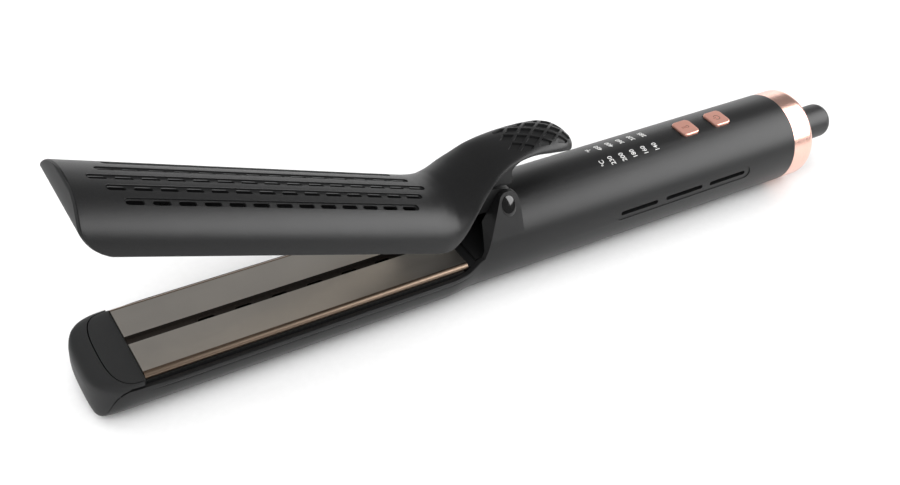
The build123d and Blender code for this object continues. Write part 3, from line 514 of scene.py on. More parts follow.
def up_ring(x, w, ze, zt, inset=0.0, m=72):
    """Closed section of the upper shell: outer line, rounded rims, inner line."""
    h = zt - ze
    k = min(1.0, max(0.0, (x - 80.0) / 20.0))
    r = min(0.4, 0.3 * h)
    a0 = math.asin(min(0.98, (r / h) ** (N_UP / 2)))
    a = np.linspace(a0, math.pi - a0, m)
    oy, oz = sup(w, ze, zt, N_UP, a)
    yr = abs(oy[0])
    arc = [(yr - r * (1 - math.sin(t)), ze + r * (1 - math.cos(t))) for t in (0.0, 0.45, 0.9, 1.3)]
    wi = max(0.25 * w, w - 1.8 - 0.2 * k)
    hi = max(0.12 * h, h - 1.8 - 0.4 * k)
    b = np.linspace(math.pi, 0, m // 2)
    iy, iz = sup(wi, ze, ze + hi, N_UP, b)
    outer = [(p[0], p[1]) for p in arc] + list(zip(oy, oz)) + [(-p[0], p[1]) for p in reversed(arc)]
    inner = list(zip(iy, iz))
    pts = np.array(outer + inner)
    if inset > 0:
        q = pts[:len(outer)]
        d = np.gradient(q, axis=0)
        nr = np.column_stack([d[:, 1], -d[:, 0]])
        nr /= np.maximum(np.linalg.norm(nr, axis=1), 1e-9)[:, None]
        mid = np.array([0.0, (ze + zt) / 2])
        if np.sum(nr * (q - mid)) < 0:
            nr = -nr
        pts[:len(outer)] = q - nr * inset
    return pts, len(outer)


def ring_solid(name, rows, n_outer, cls_outer=0, cls_inner=2):
    """Closed solid through rows of closed sections made of an outer and an inner line."""
    R, K = len(rows), len(rows[0])
    verts = np.concatenate(rows)
    faces, cls = [], []
    for r in range(R - 1):
        for i in range(K):
            j = (i + 1) % K
            faces.append((r * K + i, (r + 1) * K + i, (r + 1) * K + j, r * K + j))
            cls.append(cls_outer if i < n_outer - 1 else cls_inner)
    n_in = K - n_outer
    for r in (0, R - 1):
        o = [r * K + i for i in range(n_outer)]
        q = [r * K + n_outer + i for i in range(n_in)][::-1]
        # strip between outer and inner line
        i = j = 0
        while i < len(o) - 1 or j < len(q) - 1:
            if j == len(q) - 1 or (i < len(o) - 1 and (i + 1) / (len(o) - 1) <= (j + 1) / (len(q) - 1)):
                faces.append((o[i], o[i + 1], q[j]))
                i += 1
            else:
                faces.append((o[i], q[j + 1], q[j]))
                j += 1
            cls.append(cls_inner)
    return outward(make(name, verts, faces, cls))


def up_surface(s, y):
    """Point and outward normal on the upper shell's outer surface."""
    def pt(s_, y_):
        x, w, ze, zt = (float(f(s_)) for f in lev_f)
        r = min(0.999, abs(y_) / w)
        return np.array([x, y_, ze + (zt - ze) * (1 - r ** N_UP) ** (1 / N_UP)])
    p = pt(s, y)
    e = 0.05
    n = np.cross(pt(s + e, y) - pt(s - e, y), pt(s, y + e) - pt(s, y - e))
    n /= np.linalg.norm(n)
    return p, n


# ---------------------------------------------------------- upper arm shell
rows = []
EDGE, R_EDGE = 0.55, 0.45
for d in (0.0, 0.05, 0.12, 0.22, 0.34, 0.45):
    ins = R_EDGE - math.sqrt(max(0.0, R_EDGE ** 2 - (R_EDGE - d) ** 2))
    pts, n_out = up_ring(0.0, 19.9, 22.4, 36.9, ins)
    base, _ = up_ring(0.0, 19.9, 22.4, 36.9, 0.0)
    rows.append(np.column_stack([tip_x(base[:, 1]) + EDGE + d, pts]))
first = rows[-1]
base, _ = up_ring(0.0, 19.9, 22.4, 36.9, 0.0)
for f in (0.12, 0.3, 0.55, 0.8, 1.0):
    rows.append(np.column_stack([first[:, 0] * (1 - f) + (-34.0) * f, base]))
for x in np.arange(-31.0, 78.1, 3.0):
    rows.append(np.column_stack([np.full(len(base), x), base]))
s_rows = list(np.arange(lev_s[2] - 0.5, lev_s[-1] - 3.2, 0.8)) + list(np.linspace(lev_s[-1] - 3.0, lev_s[-1], 12))
for s in s_rows:
    x, w, ze, zt = (float(f(s)) for f in lev_f)
    pts, _ = up_ring(x, w, ze, zt)
    rows.append(np.column_stack([np.full(len(pts), x), pts]))
shell_up = ring_solid("upper_arm_shell_skin", rows, n_out)
skin_up = Skin(shell_up)

ROWS = [(0.0, -41.7, 15), (5.0, -37.5, 14), (-5.0, -37.5, 14), (10.2, -33.3, 13), (-10.2, -33.3, 13)]
SLOT_L, SLOT_W, PITCH = 5.7, 1.5, 8.34


def on_dome(y0, outline, x0, heights):
    """Loops of an outline (x, across) raised and lowered along the dome's normal at y0."""
    p, n = up_surface(0.0 - 20.0, y0)
    t = np.array([0.0, n[2], -n[1]])
    loops = []
    for (h, pts) in heights:
        loops.append([tuple(np.array([x0 + u, 0, 0]) + np.array([0, p[1], p[2]]) + t * v + n * h) for u, v in pts])
    return prism(loops)


grooves, slots_ = [], []
for y0, xa, cnt in ROWS:
    xb = xa + PITCH * (cnt - 1) + SLOT_L
    ln, xm = xb - xa + 1.2, (xa + xb) / 2
    grooves.append(on_dome(y0, None, xm, [(-0.62, stadium(ln - 0.10, 1.20)), (-0.12, stadium(ln, 1.25)),
                                         (0.16, stadium(ln + 0.56, 1.53)), (2.0, stadium(ln + 0.56, 1.53))]))
    for i in range(cnt):
        slots_.append(on_dome(y0, None, xa + SLOT_L / 2 + PITCH * i,
                              [(-4.5, stadium(SLOT_L, 0.75, 8)), (-0.78, stadium(SLOT_L, 0.75, 8)),
                               (-0.55, stadium(SLOT_L + 0.46, 0.98, 8)), (1.0, stadium(SLOT_L + 0.46, 0.98, 8))]))
cut(shell_up, gather("grooves", grooves))
cut(shell_up, gather("slots", slots_))

# diamond grip on the thumb rest
xs_ = np.linspace(95, 138.6, 451)
s_of_x = np.interp(xs_, lev_f[0](np.linspace(0, lev_s[-1], 2000)), np.linspace(0, lev_s[-1], 2000))
zc_ = lev_f[3](s_of_x)
arc_ = np.concatenate([[0], np.cumsum(np.hypot(np.diff(xs_), np.diff(zc_)))])


def clip(poly, a, b, c):
    """Part of a polygon where a*x + b*y <= c."""
    out = []
    for i in range(len(poly)):
        p, q = poly[i], poly[(i + 1) % len(poly)]
        fp, fq = a * p[0] + b * p[1] - c, a * q[0] + b * q[1] - c
        if fp <= 0:
            out.append(p)
        if (fp < 0) != (fq < 0) and fp != fq:
            t = fp / (fp - fq)
            out.append((p[0] + (q[0] - p[0]) * t, p[1] + (q[1] - p[1]) * t))
    return out


end_arc = float(np.interp(138.5, xs_, arc_))
limits = [(0, 1, 8.0), (0, -1, 8.0)]
for deg in range(-80, 81, 20):
    a = math.radians(deg)
    # rounded end, two millimetres inside the edge
    limits.append((math.cos(a), math.sin(a), (end_arc - 2.2 - 8.2) * math.cos(a) + 8.0))
diamonds = []
for j in range(-3, 4):
    for i in range(-2, 5):
        y0 = -1.4 + 2.8 * j
        s0 = 28.45 + 7.8 * i + (3.9 if j % 2 == 0 else 0.0)
        if s0 < 18.6:
            continue
        poly = [(s0 + 3.12, y0), (s0, y0 + 2.24), (s0 - 3.12, y0), (s0, y0 - 2.24)]
        for a, b, c in limits:
            poly = clip(poly, a, b, c)
            if len(poly) < 3:
                break
        if len(poly) < 3:
            continue
        area2 = sum(poly[k][0] * poly[(k + 1) % len(poly)][1] - poly[(k + 1) % len(poly)][0] * poly[k][1]
                    for k in range(len(poly)))
        if abs(area2) < 3.0:
            continue
        fine = []
        for k in range(len(poly)):
            p, q = poly[k], poly[(k + 1) % len(poly)]
            n = max(1, int(math.hypot(q[0] - p[0], q[1] - p[1]) / 0.9))
            fine += [(p[0] + (q[0] - p[0]) * t / n, p[1] + (q[1] - p[1]) * t / n) for t in range(n)]
        cx = sum(p[0] for p in fine) / len(fine)
        cy = sum(p[1] for p in fine) / len(fine)
        loops = []
        for h, k in ((-0.72, 0.90), (-0.10, 0.99), (0.12, 1.06), (0.9, 1.06)):
            lp = []
            for (u, v) in fine:
                uu, vv = cx + (u - cx) * k, cy + (v - cy) * k
                xx = float(np.interp(uu, arc_, xs_))
                P, Nn = up_surface(float(np.interp(xx, xs_, s_of_x)), vv)
                lp.append(tuple(P + Nn * h))
            loops.append(lp)
        diamonds.append(prism(loops))
cut(shell_up, gather("diamonds", diamonds))
finish_piece(shell_up, "upper_arm", ["upper_arm_shell"], "shell", up=True, skins={0: skin_up})

# ------------------------------------------------------------ upper tip cap
# A thin face that closes the front of the shell, with a shadow gap around it
prof = [(-49.3, 36.62), (-49.3, 36.3)] + [tuple(p) for p in TIP_SIDE] + [(-37.0, 22.05), (-36.2, 21.55), (-34.0, 21.5), (-30.3, 21.5)]
prof = np.array(prof)
pl = np.concatenate([[0], np.cumsum(np.hypot(*np.diff(prof, axis=0).T))])
fx, fz = pchip(pl, prof[:, 0]), pchip(pl, prof[:, 1])
ts = np.linspace(0, pl[-1], 110)
GAPR = 0.34


def tip_half(z):
    zz = np.clip((z - 22.4) / (36.9 - 22.4), 0, 1)
    y = (W_ARM) * np.maximum(0.0, 1 - zz ** N_UP) ** (1 / N_UP) - GAPR
    return np.where(z < 22.4, np.minimum(y, 17.6 + 1.9 * np.clip((z - 21.6) / 0.8, 0, 1) ** 2), y)


tip_rows = []
for t in ts:
    x, z = float(fx(t)), float(fz(t))
    e = 0.02
    tx, tz = float(fx(min(t + e, pl[-1])) - fx(max(t - e, 0))), float(fz(min(t + e, pl[-1])) - fz(max(t - e, 0)))
    L = math.hypot(tx, tz)
    nx, nz = tz / L, -tx / L            # towards the outside
    hw = max(0.6, float(tip_half(np.array(z))))
    top = max(0.0, 1 - (t / 0.9)) if t < 0.9 else 0.0
    line = []
    r = 0.5
    for u in (0.0, 0.08, 0.2, 0.4, 0.7):
        dy = r * math.sin(u * math.pi / 2)
        drop_ = r * (1 - math.cos((1 - u) * math.pi / 2)) if u < 1 else 0
        line.append((hw - dy * 0.999, drop_))
    ys = [p[0] for p in line] + list(np.linspace(hw - r, -(hw - r), 41)) + [-p[0] for p in reversed(line)]
    ds = [p[1] for p in line] + [0.0] * 41 + [p[1] for p in reversed(line)]
    ds = [d + 0.35 * top ** 2 for d in ds]
    tip_rows.append(np.array([(x - nx * d * 1.0, y, z - nz * d) for y, d in zip(ys, ds)]))
front = np.array(tip_rows)
R_, K_ = front.shape[:2]
back = front.copy()
for i in range(R_):
    t = ts[i]
    e = 0.02
    tx, tz = float(fx(min(t + e, pl[-1])) - fx(max(t - e, 0))), float(fz(min(t + e, pl[-1])) - fz(max(t - e, 0)))
    L = math.hypot(tx, tz)
    nx, nz = tz / L, -tx / L
    back[i, :, 0] -= nx * 0.9
    back[i, :, 2] -= nz * 0.9
verts = np.concatenate([front.reshape(-1, 3), back.reshape(-1, 3)])
faces, cls = [], []
off = R_ * K_
for i in range(R_ - 1):
    for j in range(K_ - 1):
        a, b, c, d = i * K_ + j, i * K_ + j + 1, (i + 1) * K_ + j + 1, (i + 1) * K_ + j
        faces.append((a, b, c, d)); cls.append(0)
        faces.append((a + off, d + off, c + off, b + off)); cls.append(1)
for i in range(R_ - 1):
    for j in (0, K_ - 1):
        a, b = i * K_ + j, (i + 1) * K_ + j
        faces.append((a, b, b + off, a + off)); cls.append(1)
for j in range(K_ - 1):
    for i in (0, R_ - 1):
        a, b = i * K_ + j, i * K_ + j + 1
        faces.append((a, b, b + off, a + off)); cls.append(1)
tip_up = outward(make("upper_tip_face", verts, faces, cls))
finish_piece(tip_up, "upper_arm", ["upper_tip_cap"], "tip", up=True, angle=40)

# ---------------------------------------------------------- lower arm shell
N_LOW = 2.05


def smooth01(t):
    t = min(1.0, max(0.0, t))
    return t * t * (3 - 2 * t)


def low_ring(x, inset=0.0, m=64):
    """Closed section of the lower shell: outer line from the +Y rim under to the -Y rim, then inner line."""
    k = smooth01((x - 86.0) / 14.0)
    w = 19.9 + (19.0 - 19.9) * k
    zc = 17.5 + 1.5 * k
    n = N_LOW + (2.0 - N_LOW) * k
    zb = -0.3 + 0.3 * k
    rise = 3.1 * smooth01((x - 90.5) / 9.5) ** 1.6        # the rim sweeps up into the hinge cradle
    top = 17.5 + 1.5 * k + rise
    band = 1.0 - smooth01((x - 86.0) / 10.0)              # the stepped band under the rim fades out at the hinge
    # heights below the rim for the stepped side, and how far they stand in
    prof = [(0.00, 0.40), (0.04, 0.22), (0.12, 0.09), (0.26, 0.01), (0.45, 0.0), (1.0, 0.0), (1.45, 0.0), (1.60, 0.03 * band),
            (1.70, 0.12 * band), (1.76, 0.46 * band), (2.10, 0.46 * band), (2.16, 0.34 * band), (2.26, 0.24 * band),
            (2.50, 0.20 * band), (3.2, 0.16 * band), (4.2, 0.10 * band)]
    out = []
    for dz, ins in prof:
        z = top - dz
        if z >= zc:
            y = w * math.sqrt(max(0.0, 1 - ((z - zc) / 19.0) ** 2))
        else:
            f = (zc - z) / (zc - zb)
            y = w * max(0.0, 1 - f ** n) ** (1 / n)
        out.append((y - ins, z))
    z0 = top - 5.2
    f0 = max(0.0, (zc - z0) / (zc - zb))
    a0 = math.asin(min(1.0, f0 ** (n / 2)))
    a = np.linspace(a0, math.pi - a0, m)[1:-1]
    c, s = np.cos(a), np.sin(a)
    oy = w * np.sign(c) * np.abs(c) ** (2 / n)
    oz = zc - (zc - zb) * np.abs(s) ** (2 / n)
    oz = np.maximum(oz, 0.0)
    outer = out + list(zip(oy, oz)) + [(-y, z) for y, z in reversed(out)]
    wi = w - 1.8 if x < 86 else (w - 1.8) + (17.0 - 18.1 + 0.9) * 0
    wi = w - 1.8 - 0.2 * k
    b = np.linspace(math.pi, 0, m // 2)
    c, s = np.cos(b), np.sin(b)
    iy = wi * np.sign(c) * np.abs(c) ** (2 / n)
    iz = zc - (zc - zb - 1.8 - 0.2 * k) * np.abs(s) ** (2 / n)
    inner = list(zip(iy, iz))
    inner = [(-wi + 0.0, top)] + inner + [(wi, top)]
    pts = np.array(outer + inner)
    no = len(outer)
    if inset > 0:
        q = pts[:no]
        d = np.gradient(q, axis=0)
        nr = np.column_stack([d[:, 1], -d[:, 0]])
        nr /= np.maximum(np.linalg.norm(nr, axis=1), 1e-9)[:, None]
        if np.sum(nr * (q - np.array([0.0, 12.0]))) < 0:
            nr = -nr
        pts[:no] = q - nr * inset
        pts[:no, 1] = np.maximum(pts[:no, 1], 0.0)
    return pts, no


JOINT = [(-28.2, 18.2), (-32.6, 18.2), (-35.2, 17.1), (-37.2, 14.9), (-39.1, 11.0), (-40.8, 6.0), (-42.4, 0.0), (-44.0, -5.0)]
jf = pchip([p[1] for p in JOINT[:1:-1]], [p[0] for p in JOINT[:1:-1]])


def joint_x(z):
    return jf(np.clip(z, -5.0, 17.1)) + 2.6 * np.clip((np.asarray(z) - 17.1) / 1.1, 0, 1)


def seg_distance(px, py, poly):
    """Signed distance of points to a convex closed polygon, negative inside."""
    poly = np.asarray(poly, float)
    nxt = np.roll(poly, -1, axis=0)
    e = nxt - poly
    ln = np.hypot(e[:, 0], e[:, 1])
    keep = ln > 1e-9
    poly, e, ln = poly[keep], e[keep], ln[keep]
    nr = np.column_stack([e[:, 1], -e[:, 0]]) / ln[:, None]
    cen = poly.mean(0)
    if np.sum((poly - cen) * nr) < 0:
        nr = -nr
    d = (px[:, None] - poly[None, :, 0]) * nr[None, :, 0] + (py[:, None] - poly[None, :, 1]) * nr[None, :, 1]
    return d.max(1)


X_NOSE = -45.4
pa = np.linspace(-math.pi / 2, math.pi / 2, 91)
plan = [(-26.0 + (X_NOSE + 26.0) * abs(math.cos(a)) ** (2 / 2.6), 19.95 * math.copysign(abs(math.sin(a)) ** (2 / 2.6), a))
        for a in pa] + [(0, 19.95), (0, -19.95)]
side_pts = np.array([(-38.5, 20.3), (-41.5, 19.7), (-44.0, 17.9), (-45.2, 15.0), (-45.3, 12.0), (-44.7, 7.5), (-43.5, 3.6),
                     (-42.0, 1.2), (-40.0, 0.0)])
sl = np.concatenate([[0], np.cumsum(np.hypot(*np.diff(side_pts, axis=0).T))])
sx, sz = pchip(sl, side_pts[:, 0]), pchip(sl, side_pts[:, 1])
st = np.linspace(0, sl[-1], 60)
side = list(zip(sx(st), sz(st))) + [(0, 0.0), (0, 20.3)]
ca = np.linspace(0, math.pi, 61)
ly, lz = sup(19.9, 17.5, -0.3, N_LOW, ca)
hy, hz = sup(19.9, 17.5, 20.3, 3.2, ca)
sect = list(zip(ly, lz)) + list(zip(hy[::-1], hz[::-1]))
sect = [p for i, p in enumerate(sect) if i == 0 or math.hypot(p[0] - sect[i - 1][0], p[1] - sect[i - 1][1]) > 1e-6]


def nose_field(P, k=0.8):
    d = np.stack([seg_distance(P[:, 0], P[:, 1], plan), seg_distance(P[:, 0], P[:, 2], side),
                  seg_distance(P[:, 1], P[:, 2], sect)])
    m = d.max(0)
    return m + k * np.log(np.exp((d - m) / k).sum(0)) - 0.0


rows = []
base, n_lo = low_ring(0.0)
MID = np.array([0.0, 10.5])


def nose_reach(x, u):
    """Distance from the middle of the section at x to the nose's surface along the directions u."""
    lo_, hi_ = np.zeros(len(u)), np.full(len(u), 30.0)
    for _ in range(24):
        mid = (lo_ + hi_) / 2
        q = MID + u * mid[:, None]
        f = nose_field(np.column_stack([x, q]))
        lo_ = np.where(f < 0, mid, lo_)
        hi_ = np.where(f < 0, hi_, mid)
    return (lo_ + hi_) / 2


def nose_row(x, inset):
    """Row of the shell at the stations x, drawn in so that it meets the nose without a step."""
    pts, _ = low_ring(0.0, inset)
    k = np.array([smooth01((-17.0 - v) / 10.0) for v in x])
    u0 = base - MID
    d0 = np.linalg.norm(u0, axis=1)
    reach = nose_reach(x, u0 / d0[:, None])
    v = pts - MID
    d = np.linalg.norm(v, axis=1)
    outer = d * (1 + (reach / d0 - 1) * k)
    inner = d + (np.minimum(d, reach - 1.5) - d) * k
    nd = np.where(np.arange(len(d)) < n_lo, outer, inner)
    q = MID + v * (nd / np.maximum(d, 1e-9))[:, None]
    q[:, 1] = np.maximum(q[:, 1], 0.0)
    return np.column_stack([x, q])


for d in (0.0, 0.05, 0.13, 0.25, 0.38):
    ins = 0.38 - math.sqrt(max(0.0, 0.38 ** 2 - (0.38 - d) ** 2))
    rows.append(nose_row(joint_x(base[:, 1]) + 0.12 + d, ins))
for f in (0.05, 0.1, 0.16, 0.22, 0.3, 0.38, 0.46, 0.55, 0.65, 0.75, 0.87, 1.0):
    rows.append(nose_row((joint_x(base[:, 1]) + 0.5) * (1 - f) + (-16.5) * f, 0.0))
for x in list(np.arange(-14.0, 84.1, 4.0)) + list(np.arange(85.0, 99.9, 0.6)) + [100.0]:
    pts, _ = low_ring(x)
    rows.append(np.column_stack([np.full(len(pts), x), pts]))
shell_lo = ring_solid("lower_arm_shell_skin", rows, n_lo)
finish_piece(shell_lo, "handle", ["lower_arm_shell"], "shell", angle=50)

# -------------------------------------------------- lower tip and its insert
def nose_solid(name):
    cx, cz = -26.5, 10.5
    phi = np.concatenate([np.linspace(0.0, math.pi / 2 * 0.8, 48), np.linspace(math.pi / 2 * 0.81, math.pi / 2, 26)])
    th = np.linspace(0, 2 * math.pi, 200, endpoint=False)
    dirs = []
    for p in phi[1:]:
        dirs.append(np.column_stack([np.full(len(th), -math.cos(p)), np.cos(th) * math.sin(p), np.sin(th) * math.sin(p)]))
    D = np.concatenate([np.array([[-1.0, 0, 0]])] + dirs)
    o = np.array([cx, 0.0, cz])
    lo_, hi_ = np.zeros(len(D)), np.full(len(D), 40.0)
    for _ in range(26):
        mid = (lo_ + hi_) / 2
        f = nose_field(o + D * mid[:, None])
        lo_ = np.where(f < 0, mid, lo_)
        hi_ = np.where(f < 0, hi_, mid)
    P = o + D * ((lo_ + hi_) / 2)[:, None]
    P[:, 2] = np.maximum(P[:, 2], 0.0)
    nt_ = len(th)
    faces, cls = [], []
    for j in range(nt_):
        faces.append((0, 1 + (j + 1) % nt_, 1 + j)); cls.append(0)
    for r in range(len(phi) - 2):
        a0_, b0_ = 1 + r * nt_, 1 + (r + 1) * nt_
        for j in range(nt_):
            faces.append((a0_ + j, a0_ + (j + 1) % nt_, b0_ + (j + 1) % nt_, b0_ + j)); cls.append(0)
    last = 1 + (len(phi) - 2) * nt_
    P = np.concatenate([P, [[cx, 0.0, cz]]])
    for j in range(nt_):
        faces.append((last + j, last + (j + 1) % nt_, len(P) - 1)); cls.append(1)
    return outward(make(name, P, faces, cls))


nose = nose_solid("lower_tip_body")
skin_nose = Skin(nose)


def c_loop(xo, grow, x_back, n=40):
    pts = []
    for i in range(n + 1):
        a = math.radians(-90 + 180 * i / n)
        pts.append((-28.0 - (9.6 + grow) * abs(math.cos(a)) ** (2 / 3.0),
                    (17.8 + grow) * math.copysign(abs(math.sin(a)) ** (2 / 3.0), a)))
    return pts + [(x_back, 17.8 + grow), (x_back, -17.8 - grow)]


def c_prism(grows):
    loops = []
    for z, g in grows:
        loops.append([(x, y, z) for x, y in c_loop(0, g, -20.0)])
    return gather("c_tool", [prism(loops)])


insert = copy_of(nose, "lower_tip_insert_face")
# the insert stays inside the seam, its upper edge broken
cut(insert, c_prism([(15.0, -0.18), (30.0, -0.18)]), "INTERSECT")
box_ = [(-60, -30, 15.2), (-27.7, -30, 15.2), (-27.7, 30, 15.2), (-60, 30, 15.2)]
cut(insert, gather("slab", [prism([box_, [(a, b, 30) for a, b, _ in box_]])]), "INTERSECT")
finish_piece(insert, "handle", ["lower_tip_insert"], "tip", skins={0: skin_nose})

cap_lo = nose
cut(cap_lo, c_prism([(14.0, 0.20), (30.0, 0.20)]))
jz = np.concatenate([[18.2, 18.0, 17.6], np.linspace(17.1, -5.0, 40)])
bk = [(-28.35, 30.0), (-28.35, 18.25)] + [(float(joint_x(z)) - 0.12, float(z) + 0.05) for z in jz]
verts, faces, cls = [], [], []
nb = len(bk)
for y in (-30.0, 30.0):
    verts += [(x, y, z) for x, z in bk] + [(10.0, y, -5.0), (10.0, y, 30.0)]
for i in range(nb + 2):
    j = (i + 1) % (nb + 2)
    faces.append((i, j, j + nb + 2, i + nb + 2))
for o in (0, nb + 2):
    faces.append(tuple(range(o, o + nb + 2)))
behind = outward(make("behind", verts, faces, [1] * len(faces)))
cut(cap_lo, behind)
finish_piece(cap_lo, "handle", ["lower_tip_cap"], "tip", skins={0: skin_nose})

# ------------------------------------------------------ web under the lever
web_side = [(97.0, 40.6), (106.0, 42.2), (110.0, 43.0), (113.0, 43.2), (114.6, 43.9), (115.0, 45.4), (114.2, 46.9), (112.9, 48.4),
            (112.4, 49.9), (112.9, 51.6), (114.6, 54.0), (116.7, 57.0), (117.2, 59.4), (113.0, 57.6), (108.5, 55.2), (104.5, 52.4),
            (101.0, 49.3), (98.0, 45.6)]
web_loops = []
for y, g in ((-6.4, 0.35), (-6.25, 0.12), (-5.9, 0.0), (5.9, 0.0), (6.25, 0.12), (6.4, 0.35)):
    cxw, czw = 107.5, 49.5
    web_loops.append([(cxw + (x - cxw) * (1 - g / 9.0), y, czw + (z - czw) * (1 - g / 9.0)) for x, z in web_side])
web = gather("lever_web", [prism(web_loops, 0)])
finish_piece(web, "upper_arm", None, "carrier", up=True, angle=30)

# ----------------------------------------------------------------- pin caps
EAR_TAN = math.radians(62.7)
ty, tz = 19.0 * math.sin(EAR_TAN), 19.0 + 19.0 * math.cos(EAR_TAN)
yc = ty - (PZ - tz) * math.cos(EAR_TAN) / math.sin(EAR_TAN)
caps_ = []
for sgn in (1, -1):
    nn = np.array([0.0, sgn * math.sin(EAR_TAN), math.cos(EAR_TAN)])
    ax = np.array([1.0, 0.0, 0.0])
    ay = np.cross(nn, ax)
    t8 = math.radians(-8 * sgn)
    e1 = ax * math.cos(t8) + ay * math.sin(t8)
    e2 = -ax * math.sin(t8) + ay * math.cos(t8)
    org = np.array([PX, sgn * yc, PZ])
    loops = []
    for h, k in ((-0.95, 1.0), (0.06, 1.0), (0.12, 0.985), (0.18, 0.94), (0.25, 0.85), (0.32, 0.72), (0.37, 0.56),
                 (0.40, 0.38), (0.415, 0.20), (0.42, 0.08)):
        loops.append([tuple(org + nn * h + e1 * 2.95 * k * math.cos(t) + e2 * 4.05 * k * math.sin(t))
                      for t in np.linspace(0, 2 * math.pi, 72, endpoint=False)])
    caps_.append(prism(loops, 0))
pin_caps = gather("pin_cap_domes", caps_)
finish_piece(pin_caps, "handle", ["hinge_caps"], "black_gloss", angle=45)


# ------------------------------------------------- temperature scale, icons
def text_mesh(body, size, thick=0.03):
    """Triangles of a line of text, centred, in millimetres, as a thin solid."""
    cu = bpy.data.curves.new("line", "FONT")
    cu.body = body
    cu.size = size
    cu.align_x, cu.align_y = "CENTER", "CENTER"
    cu.extrude = thick
    cu.offset = 0.006 * size
    cu.resolution_u = 6
    ob = bpy.data.objects.new("line", cu)
    scene.collection.objects.link(ob)
    dg = bpy.context.evaluated_depsgraph_get()
    me = bpy.data.meshes.new_from_object(ob.evaluated_get(dg))
    v = np.array([tuple(q.co) for q in me.vertices])
    f = [tuple(p.vertices) for p in me.polygons]
    bpy.data.objects.remove(ob)
    bpy.data.curves.remove(cu)
    bpy.data.meshes.remove(me)
    return v, f


def on_tube(v, x0, arc0, r=19.0, lift=0.02):
    """Lay text on the tube: it reads towards +y, its tops point to -x."""
    a = (arc0 + v[:, 0]) / r
    rr = r + lift + v[:, 2]
    return np.column_stack([x0 - v[:, 1], rr * np.sin(a), 19.0 + rr * np.cos(a)])


labels = [("°C", 161.95, -4.51), ("°F", 161.95, 4.51)]
for x0, cel, fah in zip((166.55, 172.05, 177.55, 183.15, 188.85), ("230", "200", "180", "160", "140"),
                        ("450", "400", "360", "320", "285")):
    labels += [(cel, x0, -4.51), (fah, x0, 4.51)]
parts_ = []
for body, x0, arc0 in labels:
    v, f = text_mesh(body, 2.9)
    parts_.append(([tuple(p) for p in on_tube(v, x0, arc0)], f, [0] * len(f)))
scale_print = gather("temperature_scale", parts_)
finish_piece(scale_print, "handle", None, "print", angle=30)


def ring_arc(r0, r1, a0, a1, n=36):
    out = [(r1 * math.cos(math.radians(a0 + (a1 - a0) * i / n)), r1 * math.sin(math.radians(a0 + (a1 - a0) * i / n)))
           for i in range(n + 1)]
    out += [(r0 * math.cos(math.radians(a1 + (a0 - a1) * i / n)), r0 * math.sin(math.radians(a1 + (a0 - a1) * i / n)))
            for i in range(n + 1)]
    return out


def plate_solid(pts, x0, z0, z1):
    """Thin flat solid from an outline; its u runs to +y, its v to -x."""
    lo_ = [(x0 - v, u, z0) for u, v in pts]
    hi_ = [(x0 - v, u, z1) for u, v in pts]
    n = len(pts)
    faces = [(i, (i + 1) % n, n + (i + 1) % n, n + i) for i in range(n)] + [tuple(range(n)), tuple(range(n, 2 * n))]
    return lo_ + hi_, faces, [0] * len(faces)


ZB = 38.6
icon_p = gather("power_icon", [plate_solid(ring_arc(1.15, 1.50, 125, 415), 225.15, ZB - 0.05, ZB + 0.03),
                               plate_solid([(-0.18, 0.35), (0.18, 0.35), (0.18, 1.75), (-0.18, 1.75)], 225.15, ZB - 0.05, ZB + 0.03)])
finish_piece(icon_p, "power_button", None, "icon", angle=30)
icon_t = gather("temperature_icon", [plate_solid(ring_arc(0.42, 0.76, 120, 420), 208.15 + 0.9, ZB - 0.05, ZB + 0.03),
                                     plate_solid([(-0.42, -0.45), (-0.14, -0.45), (-0.14, 1.9), (-0.42, 1.9)], 208.15, ZB - 0.05, ZB + 0.03),
                                     plate_solid([(0.14, -0.45), (0.42, -0.45), (0.42, 1.9), (0.14, 1.9)], 208.15, ZB - 0.05, ZB + 0.03)])
finish_piece(icon_t, "temperature_button", None, "icon", angle=30)

# ------------------------------------------------------------------ camera
cd = bpy.data.cameras.new("camera")
cam = bpy.data.objects.new("camera", cd)
scene.collection.objects.link(cam)
scene.camera = cam
cd.sensor_fit = "HORIZONTAL"
cd.sensor_width = 36.0
cd.lens = 46.452
cd.clip_start, cd.clip_end = 0.01, 60.0
right = Vector((0.8465, -0.5241, 0.0934)).normalized()
forward = Vector((0.4545, 0.6203, -0.6392))
forward = (forward - right * forward.dot(right)).normalized()
up = right.cross(forward)
cam.matrix_world = Matrix((
    (right.x, up.x, -forward.x, -0.225584),
    (right.y, up.y, -forward.y, -0.270640),
    (right.z, up.z, -forward.z, 0.296117),
    (0, 0, 0, 1)))

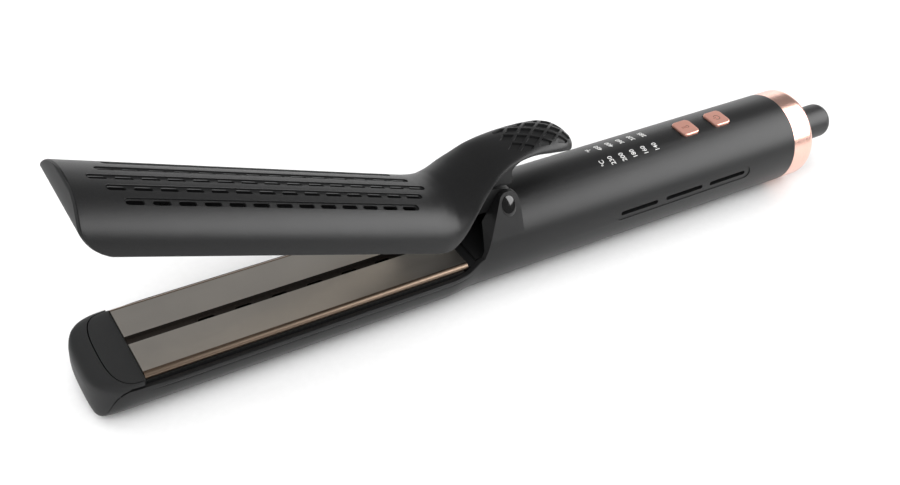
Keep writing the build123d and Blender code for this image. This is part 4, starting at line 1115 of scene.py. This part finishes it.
# ------------------------------------------------------------ floor, lights
fm, fnt, fb = new_mat("floor_paper")
fv = coords(fnt)
fnt.links.new(ramp(fnt, noise(fnt, fv, 400.0, 2.0), [(0.3, (0.86, 0.86, 0.86)), (0.7, (0.88, 0.88, 0.88))]),
              fb.inputs["Base Color"])
fb.inputs["Roughness"].default_value = 0.45
fb.inputs["Specular IOR Level"].default_value = 0.25
bpy.ops.mesh.primitive_grid_add(x_subdivisions=4, y_subdivisions=4, size=8.0, location=(0, 0, 0))
floor = bpy.context.object
floor.name = "floor"
floor.data.materials.append(fm)

world = bpy.data.worlds.new("studio")
scene.world = world
world.use_nodes = True
wnt = world.node_tree
bg = wnt.nodes["Background"]
wout = wnt.nodes["World Output"]
bg.inputs["Color"].default_value = (1, 1, 1, 1)
bg.inputs["Strength"].default_value = 0.30
bg2 = wnt.nodes.new("ShaderNodeBackground")
bg2.inputs["Color"].default_value = (1, 1, 1, 1)
bg2.inputs["Strength"].default_value = 1.0
lp = wnt.nodes.new("ShaderNodeLightPath")
wmix = wnt.nodes.new("ShaderNodeMixShader")
wnt.links.new(lp.outputs["Is Camera Ray"], wmix.inputs["Fac"])
wnt.links.new(bg.outputs["Background"], wmix.inputs[1])
wnt.links.new(bg2.outputs["Background"], wmix.inputs[2])
wnt.links.new(wmix.outputs["Shader"], wout.inputs["Surface"])


def area(name, loc, target, sx, sy, power, glossy_on=True, color=(1, 1, 1)):
    ld = bpy.data.lights.new(name, "AREA")
    ld.shape = "RECTANGLE"
    ld.size, ld.size_y = sx, sy
    ld.energy = power
    ld.color = color
    lo = bpy.data.objects.new(name, ld)
    scene.collection.objects.link(lo)
    d = Vector(target) - Vector(loc)
    lo.matrix_world = Matrix.Translation(loc) @ d.to_track_quat("-Z", "Y").to_matrix().to_4x4()
    lo.visible_glossy = glossy_on
    lo.visible_camera = False
    return lo


area("overhead", (0.0, 0.0, 1.6), (0.0, 0.0, 0.0), 2.4, 2.4, 29.0, glossy_on=False)
area("camera_fill", (-0.70, -1.05, 1.42), (0.0, 0.0, 0.0), 2.0, 1.0, 30.0, glossy_on=False)
softbox = area("softbox", (0.75, -0.43, 0.52), (0.0, 0.0, 0.03), 1.15, 0.70, 18.0)
softbox.visible_diffuse = False
area("back_panel", (0.9, 1.7, 0.35), (0.0, 0.0, 0.03), 3.2, 0.7, 10.0)

scene.view_settings.view_transform = "Standard"
scene.view_settings.look = "None"
scene.view_settings.exposure = 0.0
